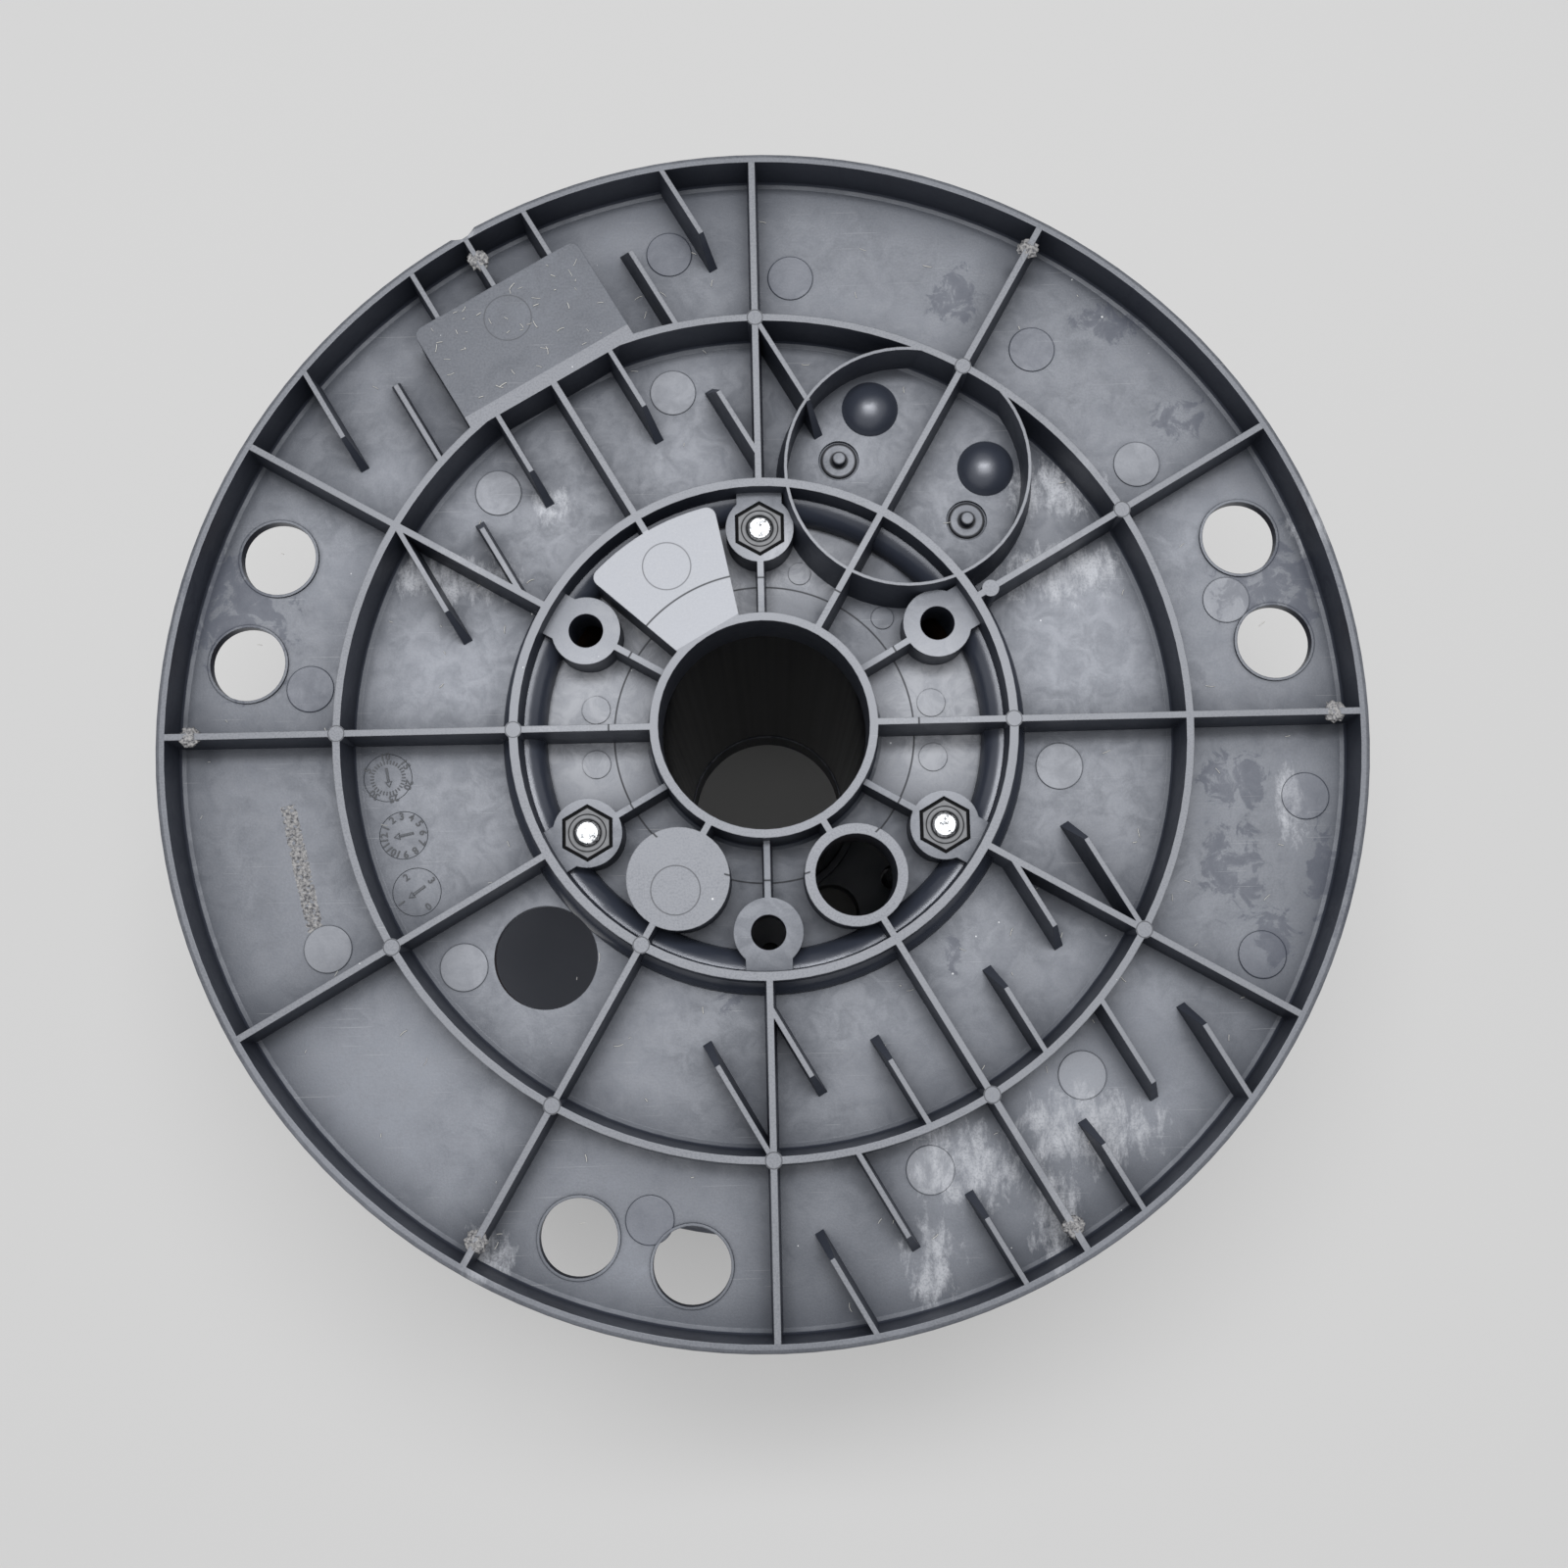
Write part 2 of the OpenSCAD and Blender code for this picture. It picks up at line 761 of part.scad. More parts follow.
// Hexagon nut at one angle, in the pocket of the upper flange, its flat face up
module nut(a) {
    color("#46484d")
        rotate(a)
            translate([bolt_circle_r, 0, nut_top])
                rotate([180, 0, 0])
                    difference() {
                        hexagon(nut_flats, nut_h);
                        translate([0, 0, -over])
                            cylinder(r = shank_r, h = nut_h + over + over);
                    }
}

module bolt_1() { bolt(nut_angles[0]); }
module bolt_2() { bolt(nut_angles[1]); }
module bolt_3() { bolt(nut_angles[2]); }
module nut_1() { nut(nut_angles[0]); }
module nut_2() { nut(nut_angles[1]); }
module nut_3() { nut(nut_angles[2]); }

top_flange();
bottom_flange();
barrel();
arbor_tube();
bolt_1();
bolt_2();
bolt_3();
nut_1();
nut_2();
nut_3();
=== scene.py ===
"""Looks of an empty moulded cable reel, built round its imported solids.

Lengths are in millimetres in the fields and become metres where a mesh is made. A flange's own
frame has its rib tops in the plane z = 0 and its outer face up, as in the part's source.
"""

import logging
import math
import random
from collections.abc import Callable, Iterable
from dataclasses import dataclass
from enum import Enum
from functools import partial, reduce

import bmesh
import bpy
from mathutils import Matrix, Vector, noise


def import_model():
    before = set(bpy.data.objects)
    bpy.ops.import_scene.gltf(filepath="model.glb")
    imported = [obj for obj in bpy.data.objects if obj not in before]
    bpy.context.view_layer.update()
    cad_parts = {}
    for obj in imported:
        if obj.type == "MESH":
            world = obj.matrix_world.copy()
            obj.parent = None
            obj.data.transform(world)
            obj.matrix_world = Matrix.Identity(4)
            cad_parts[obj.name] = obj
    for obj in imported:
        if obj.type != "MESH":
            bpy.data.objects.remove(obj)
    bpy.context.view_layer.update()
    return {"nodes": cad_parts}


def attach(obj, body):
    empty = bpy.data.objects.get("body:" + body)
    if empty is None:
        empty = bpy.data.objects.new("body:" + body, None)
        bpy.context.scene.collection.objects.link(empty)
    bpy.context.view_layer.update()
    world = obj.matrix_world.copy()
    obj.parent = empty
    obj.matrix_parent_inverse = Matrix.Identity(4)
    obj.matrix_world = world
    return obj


LOG = logging.getLogger("cable_reel")
MM = 0.001
REEL_WIDTH = 196.85
DRIVE_ANGLE = 300.0

Colour = tuple[float, float, float, float]
Place = tuple[float, float]
Point = tuple[float, float, float]
Places = tuple[Place, ...]
Ovals = tuple[tuple[float, float, float, float], ...]
Node = bpy.types.Node
Value = Node | bpy.types.NodeSocket
AddNode = Callable[..., Node]
Material = bpy.types.Material
Shape = bmesh.types.BMesh

# Middles of the ejector pins' marks that came out paler than the web, and of those that came out darker
PALE_MARKS: Places = (
    (97.9, 68.0), (-21.8, 90.1), (-67.2, 64.1), (118.9, 31.5), (-109.3, -52.1), (-75.7, -57.4), (74.4, -10.3),
    (76.3, -87.3), (38.1, -109.2))
DARK_MARKS: Places = (
    (72.1, 99.6), (9.5, 120.6), (-114.7, 13.6), (-30.4, -119.4), (135.7, -19.5), (122.4, -58.9), (-22.2, 127.7))
MARK_RADIUS = 6.0


def linear(code: str) -> Colour:
    """Turns an sRGB colour into the linear one that shaders take.

    Args:
        code: The colour as "#rrggbb".

    Returns:
        Linear red, green, blue and an alpha of 1.
    """
    parts = [int(code[i:i + 2], 16) / 255 for i in (1, 3, 5)]
    red, green, blue = (p / 12.92 if p <= 0.04045 else ((p + 0.055) / 1.055) ** 2.4 for p in parts)
    return red, green, blue, 1.0


def add_node(tree: bpy.types.NodeTree, kind: str, *first: object, at: dict | None = None, **named: object) -> Node:
    """Adds a node with its settings, values and links.

    An input takes a socket, a node whose first output in use is linked, or a value.

    Args:
        tree: The node tree that gets the node.
        kind: The node's type without its prefix, with any operation, such as "Bump" or "Math:ADD".
        *first: What the first inputs take.
        at: What other inputs take, by name or number.
        **named: What inputs of these names take, and the node's properties.

    Returns:
        The new node.
    """
    kind, *operation = kind.split(":")
    made = tree.nodes.new(f"ShaderNode{kind}")
    if operation:
        made.operation = operation[0]
    inputs = dict(enumerate(first)) | (at or {})
    for name, value in named.items():
        if hasattr(made, name):
            setattr(made, name, value)
        else:
            inputs[name] = value
    for key, value in inputs.items():
        if isinstance(value, Node):
            value = next(socket for socket in value.outputs if socket.enabled)
        if isinstance(value, bpy.types.NodeSocket):
            tree.links.new(value, made.inputs[key])
        else:
            made.inputs[key].default_value = value
    return made


def folded(node: AddNode, how: str, masks: Iterable[Value]) -> Value:
    """Folds several masks into one.

    Args:
        node: Adds a node.
        how: The sum that takes up each next mask, such as "MAXIMUM".
        masks: The masks in their order.

    Returns:
        The one mask.
    """
    return reduce(lambda whole, mask: node(f"Math:{how}", whole, mask), masks)


def rays_that_show(node: AddNode) -> Value:
    """Finds the rays that show a thing itself, seen, mirrored or through something clear.

    Args:
        node: Adds a node.

    Returns:
        A mask that is 1 on such rays.
    """
    ray = node("LightPath").outputs
    return folded(node, "MAXIMUM", [ray[f"Is {kind} Ray"] for kind in ("Camera", "Glossy", "Transmission")])


class End(Enum):
    """Which end of the reel a flange closes."""

    TOP = "top"
    BOTTOM = "bottom"

    def matrix(self) -> Matrix:
        """Gives the move from a flange's own frame, in metres, to the reel's.

        Returns:
            The move.
        """
        if self is End.TOP:
            return Matrix.Translation((0, 0, REEL_WIDTH * MM))
        turn = math.radians(DRIVE_ANGLE)
        return Matrix.Rotation(math.pi, 4, Vector((math.cos(turn), math.sin(turn), 0)))


@dataclass(frozen=True)
class Finish:
    """What all finishes share: a material round the shader that each of them builds."""

    def material(self, name: str) -> Material:
        """Builds the material.

        Args:
            name: The material's name.

        Returns:
            The finished material.
        """
        material = bpy.data.materials.new(name)
        material.use_nodes = True
        material.node_tree.nodes.clear()
        node = partial(add_node, material.node_tree)
        node("OutputMaterial", self.shader(node, node("TexCoord").outputs["Object"]))
        return material

    def shader(self, node: AddNode, place: Value) -> Node:
        """Builds the shader from what adds a node and from the place in metres."""
        raise NotImplementedError


@dataclass(frozen=True)
class MouldedPolypropylene(Finish):
    """Black polypropylene from a textured mould: satin, with a grey bloom on level faces and rubbed rib tops.

    Pale blotches with ragged edges where a face looks outwards are a painted reflection of the strip lamp, and pale
    dust lies in the hub; corners get painted shade, while the upright walls keep the deep blue-black of the
    moulding.
    """

    end: End
    wall: str = "#2f333d"
    web: str = "#2e323a"
    bloom: str = "#62666e"
    pale_dust_and_reflection: str = "#999ba0"
    bare: str = "#272c3a"
    rubbed: str = "#64666b"
    chalk: str = "#d9dadb"
    groove_and_recess_shade: str = "#0c0d10"
    sheen: str = "#f0f3fb"
    level_span: Place = (0.55, 0.93)
    cloud_mm: float = 34.0
    mottle_mm: float = 6.0
    ragged_mm: float = 4.2
    ragged_turn: float = -14.0
    ragged_stretch: float = 0.45
    grain_mm: float = 0.55
    warp_mm: float = 26.0
    scratch_long_mm: float = 22.0
    scratch_wide_mm: float = 0.4
    scratch_turns: tuple[float, ...] = (12.0, 57.0, 103.0, 148.0)
    speck_mm: float = 6.5
    edge_mm: float = 0.3
    # Reach of the painted shade in corners
    corner_shade_mm: float = 12.0
    ray_count: int = 4
    bead_r_mm: float = 60.5
    bead_half_mm: Place = (5.2, 5.6)
    bead_top_mm: Place = (-7.4, -7.0)
    insert_r_mm: float = 38.1
    rim_r_mm: float = 146.6
    label_span_mm: Place = (105.9, 132.5)
    label_half_mm: float = 24.0
    hub_pad_span_mm: Place = (27.0, 57.0)
    hub_pad_half_angle: float = 18.7
    ring_r_mm: float = 6.0
    rings: Places = ((-62.7, 106.0), (-23.3, 40.3), (-22.3, -40.3))
    knob_r_mm: float = 1.95
    outer_knobs: tuple[float, tuple[float, ...]] = (104.8, (30, 60, 90, 180, 210, 240, 270, 300, 330))
    inner_knobs: tuple[float, tuple[float, ...]] = (61.5, (0, 180, 240))
    studs: Places = ((20.9, 71.0), (53.4, 54.3))
    stud_ring_and_recess_shade_mm: Places = ((4.4, 0.34), (1.9, 0.5))
    # Pale blotches of painted reflection of the strip lamp
    painted_reflection_blotches: Ovals = (
        (-76.9, 41.9, 18.8, 7.2), (-53.3, 60.6, 6.0, 5.0), (76.5, 39.8, 17.6, 8.3), (141.3, 51.6, 7.0, 8.6),
        (76.2, 62.0, 14.7, 8.7), (46.7, -108.4, 14.4, 10.5), (37.4, -131.3, 8.0, 10.4), (67.6, -120.5, 7.0, 14.0),
        (77.0, -100.9, 19.2, 10.8), (131.7, -21.2, 4.5, 11.5), (-69.1, -125.2, 6.0, 8.1), (-74.3, 129.2, 4.0, 3.0))
    # Soft pale ovals of painted sheen where the lamps' reflection runs brighter
    painted_sheen_ovals: Ovals = (
        (-88.0, -98.0, 38.0, 34.0), (-40.0, -134.0, 16.0, 12.0), (66.0, -106.0, 38.0, 32.0),
        (-95.0, 58.0, 30.0, 18.0), (96.0, -80.0, 32.0, 30.0), (48.0, -78.0, 22.0, 20.0), (108.0, 52.0, 16.0, 14.0),
        (-70.0, 22.0, 30.0, 26.0), (82.0, 22.0, 30.0, 26.0))
    dusty: Ovals = (
        (-20.0, 34.0, 26.0, 20.0), (-44.0, 4.0, 18.0, 22.0), (44.0, 4.0, 18.0, 22.0), (10.0, 44.0, 16.0, 10.0))
    # Darker patches with torn edges, with less sheen
    dark_patches: Ovals = (
        (-10.9, -66.0, 3.4, 5.3), (45.5, -57.2, 2.9, 4.4), (118.0, -14.6, 9.0, 9.0), (117.0, -38.0, 10.0, 12.0),
        (126.0, -55.0, 6.0, 9.0), (139.0, -41.0, 5.0, 16.0), (53.0, 115.0, 8.0, 9.0), (109.0, 80.0, 8.0, 7.0),
        (92.0, 107.0, 9.0, 6.0), (-132.0, 32.0, 14.0, 22.0), (130.0, 34.0, 14.0, 16.0))
    hub_tubes: Ovals = ((-22.3, -38.6, 9.2, 9.2), (22.3, -38.6, 9.2, 9.2))
    domes: Ovals = ((29.4, 84.6, 6.6, 6.6), (58.8, 68.0, 6.6, 6.6))

    def blots(self, node: AddNode, mm: Value, ovals: Ovals) -> Value:
        """Draws soft ovals on the flange.

        Args:
            node: Adds a node.
            mm: The place on the flange in millimetres.
            ovals: Middle and half-axes of each oval.

        Returns:
            A mask that is 1 inside the ovals.
        """
        masks = []
        for x, y, half_x, half_y in ovals:
            fitted = node("Mapping", mm, Location=(-x / half_x, -y / half_y, 0), Scale=(1 / half_x, 1 / half_y, 0))
            away = node("VectorMath:LENGTH", fitted)
            masks.append(node("MapRange", away, 0.5, 1.35, 1.0, 0.0))
        return folded(node, "MAXIMUM", masks)

    def torn_blots(self, node: AddNode, blot: Value, ragged: Value, span: Place, most: float) -> Value:
        """Tears the edges of soft ovals.

        Args:
            node: Adds a node.
            blot: The mask of the ovals.
            ragged: The noise that tears them.
            span: The sums of both between which the torn mask rises.
            most: The torn mask at its highest.

        Returns:
            The torn mask.
        """
        torn = node("Math:MULTIPLY_ADD", ragged, 4.2, blot)
        torn = node("MapRange", torn, *span, at={4: most})
        held = node("MapRange", blot, 0.02, 0.3)
        return node("Math:MULTIPLY", torn, held)

    def pads(self, node: AddNode, mm: Value) -> list[Value]:
        """Finds the label pad and the hub pad, which lie level with the rib tops but are hardly rubbed.

        Args:
            node: Adds a node.
            mm: The place on the flange in millimetres.

        Returns:
            A mask that is 1 on the label pad, and one for the hub pad.
        """
        turned = node("Mapping", mm, Rotation=(0, 0, math.radians(180 - DRIVE_ANGLE)))
        along, across, _ = node("SeparateXYZ", turned).outputs
        across = node("Math:ABSOLUTE", across)
        wedge = node("Math:MULTIPLY", along, math.tan(math.radians(self.hub_pad_half_angle)))
        masks = []
        for (least, most), half in ((self.label_span_mm, self.label_half_mm), (self.hub_pad_span_mm, wedge)):
            beyond = node("Math:GREATER_THAN", along, least)
            before = node("Math:LESS_THAN", along, most)
            inside = node("Math:LESS_THAN", across, half)
            masks.append(folded(node, "MULTIPLY", (beyond, before, inside)))
        return masks

    def line_at(self, node: AddNode, distance: Value, at: float, half: float, strength: float) -> Value:
        """Draws a fine line where a distance has one value.

        Args:
            node: Adds a node.
            distance: The distance in millimetres.
            at: The value on the line.
            half: Half the line's width in millimetres.
            strength: The mask on the line.

        Returns:
            The mask of the line.
        """
        off = node("Math:SUBTRACT", distance, at)
        off = node("Math:ABSOLUTE", off)
        return node("MapRange", off, half * 0.5, half * 1.5, strength, 0.0)

    def seams(self, node: AddNode, mm: Value, flat: Value, top: Value) -> Value:
        """Draws the parting line of the hub's mould insert, the rings of ejectors and knobs, and the studs' dark
        outline rings with painted shade in the recess round each post.

        Args:
            node: Adds a node.
            mm: The place on the flange in millimetres.
            flat: The same place without its height.
            top: The mask of the rib tops' plane.

        Returns:
            The mask of all lines.
        """
        radius = node("VectorMath:LENGTH", flat)
        parting = self.line_at(node, radius, self.insert_r_mm, 0.22, 0.85)
        clear = node("Math:LESS_THAN", self.blots(node, mm, self.hub_tubes), 0.05)
        lines = [node("Math:MULTIPLY", parting, clear)]
        raised = [(x, y, self.ring_r_mm, 0.16, 0.55) for x, y in self.rings]
        for out, angles in (self.outer_knobs, self.inner_knobs):
            for turn in map(math.radians, angles):
                raised.append((out * math.cos(turn), out * math.sin(turn), self.knob_r_mm, 0.14, 0.6))
        # Studs: a dark outline ring, and painted shade in the recess round the post
        sunk = [(x, y, at, half, 0.95) for x, y in self.studs for at, half in self.stud_ring_and_recess_shade_mm]
        for spots, shown in ((raised, top), (sunk, 1.0)):
            for x, y, at, half, strength in spots:
                away = node("VectorMath:DISTANCE", flat, (x, y, 0))
                line = self.line_at(node, away, at, half, strength)
                lines.append(node("Math:MULTIPLY", line, shown))
        return folded(node, "MAXIMUM", lines)

    def scuffs(self, node: AddNode, mm: Value) -> Value:
        """Draws short fine scratches, wider than they are so that they show, and specks of white dust.

        Args:
            node: Adds a node.
            mm: The place on the flange in millimetres.

        Returns:
            The mask of both.
        """
        lines = []
        for turn in self.scratch_turns:
            turned = node("Mapping", mm, Rotation=(0, 0, math.radians(turn)),
                          Scale=(1 / self.scratch_long_mm, 1 / self.scratch_wide_mm, 0.02))
            streak = node("TexNoise", turned, Scale=1.0, Detail=1.0, Roughness=0.4, Distortion=0.15)
            lines.append(node("MapRange", streak, 0.765, 0.81))
        lines = node("Math:MULTIPLY", folded(node, "MAXIMUM", lines), 0.1)
        cell = node("TexVoronoi", mm, Scale=1 / self.speck_mm).outputs
        chance = node("SeparateXYZ", cell["Color"]).outputs[0]
        size = node("MapRange", chance, 0.55, 1.0, 0.0, 0.045)
        speck = node("Math:LESS_THAN", cell["Distance"], size)
        speck = node("Math:MULTIPLY", speck, 0.7)
        return node("Math:MAXIMUM", lines, speck)

    def shader(self, node: AddNode, place: Value) -> Node:
        """Builds the shader of one flange.

        Args:
            node: Adds a node.
            place: The place in metres.

        Returns:
            The shader.
        """
        back = self.end.matrix().inverted()
        mm = node("Mapping", place, Location=back.translation / MM, Rotation=back.to_euler(), Scale=(1 / MM,) * 3)
        x, y, z = node("SeparateXYZ", mm).outputs
        flat = node("CombineXYZ", x, y)
        radius = node("VectorMath:LENGTH", flat)

        # How level a face is, and whether it lies in the plane of the rib tops
        up = node("SeparateXYZ", node("NewGeometry").outputs["True Normal"]).outputs[2]
        up = node("Math:MULTIPLY", up, 1.0 if self.end is End.TOP else -1.0)
        level = node("MapRange", up, *self.level_span, interpolation_type="SMOOTHSTEP")
        top = node("MapRange", z, -0.5, -0.1)

        # Clouds of bloom, finer mottle inside them, the grain of the mould, and soft pale ovals of painted sheen
        cloud = node("TexNoise", mm, Scale=1 / self.cloud_mm, Detail=6.0, Roughness=0.6, Distortion=0.6)
        mottle = node("TexNoise", mm, Scale=1 / self.mottle_mm, Detail=7.0, Roughness=0.68, Distortion=0.8)
        grain = node("TexNoise", mm, Scale=1 / self.grain_mm, Detail=3.0, Roughness=0.6)
        clouded = node("MapRange", cloud, 0.4, 0.66, interpolation_type="SMOOTHSTEP")
        mottled = node("MapRange", mottle, 0.36, 0.68, interpolation_type="SMOOTHSTEP")
        bloom = node("Math:MULTIPLY", clouded, mottled)
        speckle = node("MapRange", grain, 0.3, 0.7, 0.0, 0.3)
        bloom = node("Math:MULTIPLY_ADD", bloom, 0.5, speckle)
        # Painted sheen: pale ovals added to the bloom
        bloom = node("Math:MULTIPLY_ADD", self.blots(node, mm, self.painted_sheen_ovals), 0.4, bloom)

        # Painted shade in corners: an occlusion mask takes the bloom out of corners and turns their sheen down
        out_of_corner_shade = node("AmbientOcclusion", Distance=self.corner_shade_mm * MM, samples=self.ray_count).outputs["AO"]
        out_of_corner_shade = node("MapRange", out_of_corner_shade, 0.35, 0.95)
        bloom = node("Math:MULTIPLY", bloom, out_of_corner_shade)
        colour = node("Mix", bloom, at={6: linear(self.web), 7: linear(self.bloom)}, data_type="RGBA")

        # Ragged pale blotches of painted reflection, pale dust in the hub, a few darker patches, and the ejector
        # marks' own tones
        drawn = node("Mapping", mm, Rotation=(0, 0, math.radians(self.ragged_turn)),
                     Scale=(1 / self.ragged_mm, self.ragged_stretch / self.ragged_mm, 0))
        ragged = node("TexNoise", drawn, Scale=1.0, Detail=8.0, Roughness=0.72, Distortion=0.3)
        # Painted reflection: pale blotches where glossier patches mirror the strip lamp
        pale_dust_and_reflection = self.torn_blots(node, self.blots(node, mm, self.painted_reflection_blotches), ragged, (2.6, 3.4), 1.0)
        gritty = node("MapRange", grain, 0.36, 0.52, 0.5, 0.9)
        pale_dust_and_reflection = node("Math:MULTIPLY", pale_dust_and_reflection, gritty)
        label, hub = self.pads(node, mm)
        for mask, least, most in ((self.blots(node, mm, self.dusty), 0.2, 0.85), (hub, 0.62, 1.0)):
            dust = node("MapRange", mottled, at={3: least, 4: most})
            dust = node("Math:MULTIPLY", dust, mask)
            pale_dust_and_reflection = node("Math:MAXIMUM", pale_dust_and_reflection, dust)
        # Darker patches with torn edges
        dark_patch = self.torn_blots(node, self.blots(node, mm, self.dark_patches), mottle, (2.75, 3.0), 0.75)
        layers = [(pale_dust_and_reflection, self.pale_dust_and_reflection), (dark_patch, self.bare)]
        for places, tone, share in ((PALE_MARKS, self.pale_dust_and_reflection, 0.22), (DARK_MARKS, self.bare, 0.45)):
            discs = self.blots(node, mm, tuple((*at, MARK_RADIUS, MARK_RADIUS) for at in places))
            layers.append((node("MapRange", discs, 0.4, 0.43, 0.0, share), tone))
        for mask, tone in layers:
            colour = node("Mix", mask, at={6: colour, 7: linear(tone)}, data_type="RGBA")
        colour = node("Mix", level, at={6: linear(self.wall), 7: colour}, data_type="RGBA")

        # Rib tops are rubbed by stacking: lighter and speckled, the pads and the rim less so
        on_pad = node("Math:MAXIMUM", label, hub)
        on_pad = node("Math:MULTIPLY", on_pad, 0.75)
        on_rim = node("Math:GREATER_THAN", radius, self.rim_r_mm)
        on_rim = node("Math:MULTIPLY", on_rim, 0.5)
        spared = node("Math:MAXIMUM", on_pad, on_rim)
        rubbed = node("Math:SUBTRACT", 1.0, spared)
        worn = node("MapRange", grain, 0.34, 0.6, 0.35, 1.0)
        worn = folded(node, "MULTIPLY", (worn, top, level, rubbed))
        scuffed = node("Math:MULTIPLY", self.scuffs(node, mm), level)
        # Dark lines, with the studs' painted recess shade
        seam = node("Math:MULTIPLY", self.seams(node, mm, flat, top), level)

        # The bead over the barrel and the domes were polished in the mould and stay bare
        bead = node("Math:SUBTRACT", radius, self.bead_r_mm)
        bead = node("Math:ABSOLUTE", bead)
        bead = node("MapRange", bead, *self.bead_half_mm, 1.0, 0.0)
        below = node("MapRange", z, *self.bead_top_mm, 1.0, 0.0)
        bead = node("Math:MULTIPLY", bead, below)
        dome = node("Math:GREATER_THAN", self.blots(node, mm, self.domes), 0.42)
        bare = node("Math:MAXIMUM", bead, dome)
        for mask, tone in ((worn, self.rubbed), (scuffed, self.chalk), (seam, self.groove_and_recess_shade), (bare, self.wall)):
            colour = node("Mix", mask, at={6: colour, 7: linear(tone)}, data_type="RGBA")

        # Bloom is duller than the bare moulding, and rubbed tops are duller still
        rough = node("MapRange", mottled, at={3: 0.42, 4: 0.52})
        for mask, value in ((worn, 0.5), (bead, 0.27), (dome, 0.36)):
            rough = node("Mix", mask, at={2: rough, 3: value})
        # Sheen turned down in corners as painted shade
        sheen = node("MapRange", out_of_corner_shade, at={3: 0.3, 4: 0.9})
        on_label = node("Math:MULTIPLY", label, 0.4)
        dimmed = node("Math:MULTIPLY", dark_patch, 0.3)
        dull = folded(node, "MAXIMUM", (on_label, seam, dimmed))
        sheen = node("Mix", dull, at={2: sheen, 3: 0.1})

        # Relief: rounded edges, the slow warp of a large web, and the mould's grain
        rounded = node("Bevel", Radius=self.edge_mm * MM, samples=self.ray_count)
        warp = node("TexNoise", mm, Scale=1 / self.warp_mm, Detail=2.0, Roughness=0.45)
        bump = node("Bump", Height=warp, Strength=0.35, Distance=0.5 * MM, Normal=rounded)
        bump = node("Bump", Height=grain, Strength=0.14, Distance=0.12 * MM, Normal=bump)
        return node("BsdfPrincipled", colour, at={"Specular IOR Level": sheen, "Specular Tint": linear(self.sheen)},
                    Roughness=rough, IOR=1.55, Normal=bump)


@dataclass(frozen=True)
class KraftFibre(Finish):
    """Brown kraft paper wound in a spiral and glued: matt, with fine fibres and the edges of its strips."""

    paper: str = "#8a6a4c"
    dark: str = "#6b4f38"
    edge: str = "#50392a"
    strip_mm: float = 95.0
    fibre_mm: float = 0.9
    stain_mm: float = 28.0

    def shader(self, node: AddNode, place: Value) -> Node:
        """Builds the shader.

        Args:
            node: Adds a node.
            place: The place in metres.

        Returns:
            The shader.
        """
        mm = node("VectorMath:SCALE", place, Scale=1 / MM)
        x, y, z = node("SeparateXYZ", mm).outputs
        around = node("Math:ARCTAN2", y, x)
        # One strip's width is climbed in each turn, so the edge of the strips closes on itself
        along = node("Math:MULTIPLY_ADD", around, self.strip_mm / math.tau, z)
        wrapped = node("Math:FLOORED_MODULO", along, self.strip_mm)
        seam = node("MapRange", wrapped, 0.0, 0.8, 0.7, 0.0)
        stretched = node("Mapping", mm, Scale=(1.0, 1.0, 4.0))
        fibre = node("TexNoise", stretched, Scale=1 / self.fibre_mm, Detail=5.0, Roughness=0.65)
        stain = node("TexNoise", mm, Scale=1 / self.stain_mm, Detail=4.0)
        tone = node("Math:MULTIPLY", fibre, stain)
        tone = node("MapRange", tone, 0.15, 0.38)
        colour = node("Mix", tone, at={6: linear(self.dark), 7: linear(self.paper)}, data_type="RGBA")
        colour = node("Mix", seam, at={6: colour, 7: linear(self.edge)}, data_type="RGBA")
        bump = node("Bump", Height=fibre, Strength=0.25, Distance=0.1 * MM)
        bump = node("Bump", Height=seam, Strength=0.6, Distance=-0.3 * MM, Normal=bump)
        return node("BsdfPrincipled", colour, Roughness=0.78, IOR=1.45, Normal=bump)


@dataclass(frozen=True)
class GlossTube(Finish):
    """Extruded black polypropylene pipe: glossy, with faint lines along the way it was drawn."""

    body: str = "#040509"
    worn: str = "#0a0c12"
    tint: str = "#9590cd"
    line_mm: float = 1.6

    def shader(self, node: AddNode, place: Value) -> Node:
        """Builds the shader.

        Args:
            node: Adds a node.
            place: The place in metres.

        Returns:
            The shader.
        """
        fine = 1 / (self.line_mm * MM)
        drawn = node("Mapping", place, Scale=(fine, fine, 2.0))
        lines = node("TexNoise", drawn, Scale=1.0, Detail=3.0)
        colour = node("Mix", lines, at={6: linear(self.body), 7: linear(self.worn)}, data_type="RGBA")
        rough = node("MapRange", lines, at={3: 0.1, 4: 0.24})
        bump = node("Bump", Height=lines, Strength=0.1, Distance=0.05 * MM)
        return node("BsdfPrincipled", colour, at={"Specular IOR Level": 0.3, "Specular Tint": linear(self.tint)},
                    Roughness=rough, IOR=1.2, Normal=bump)


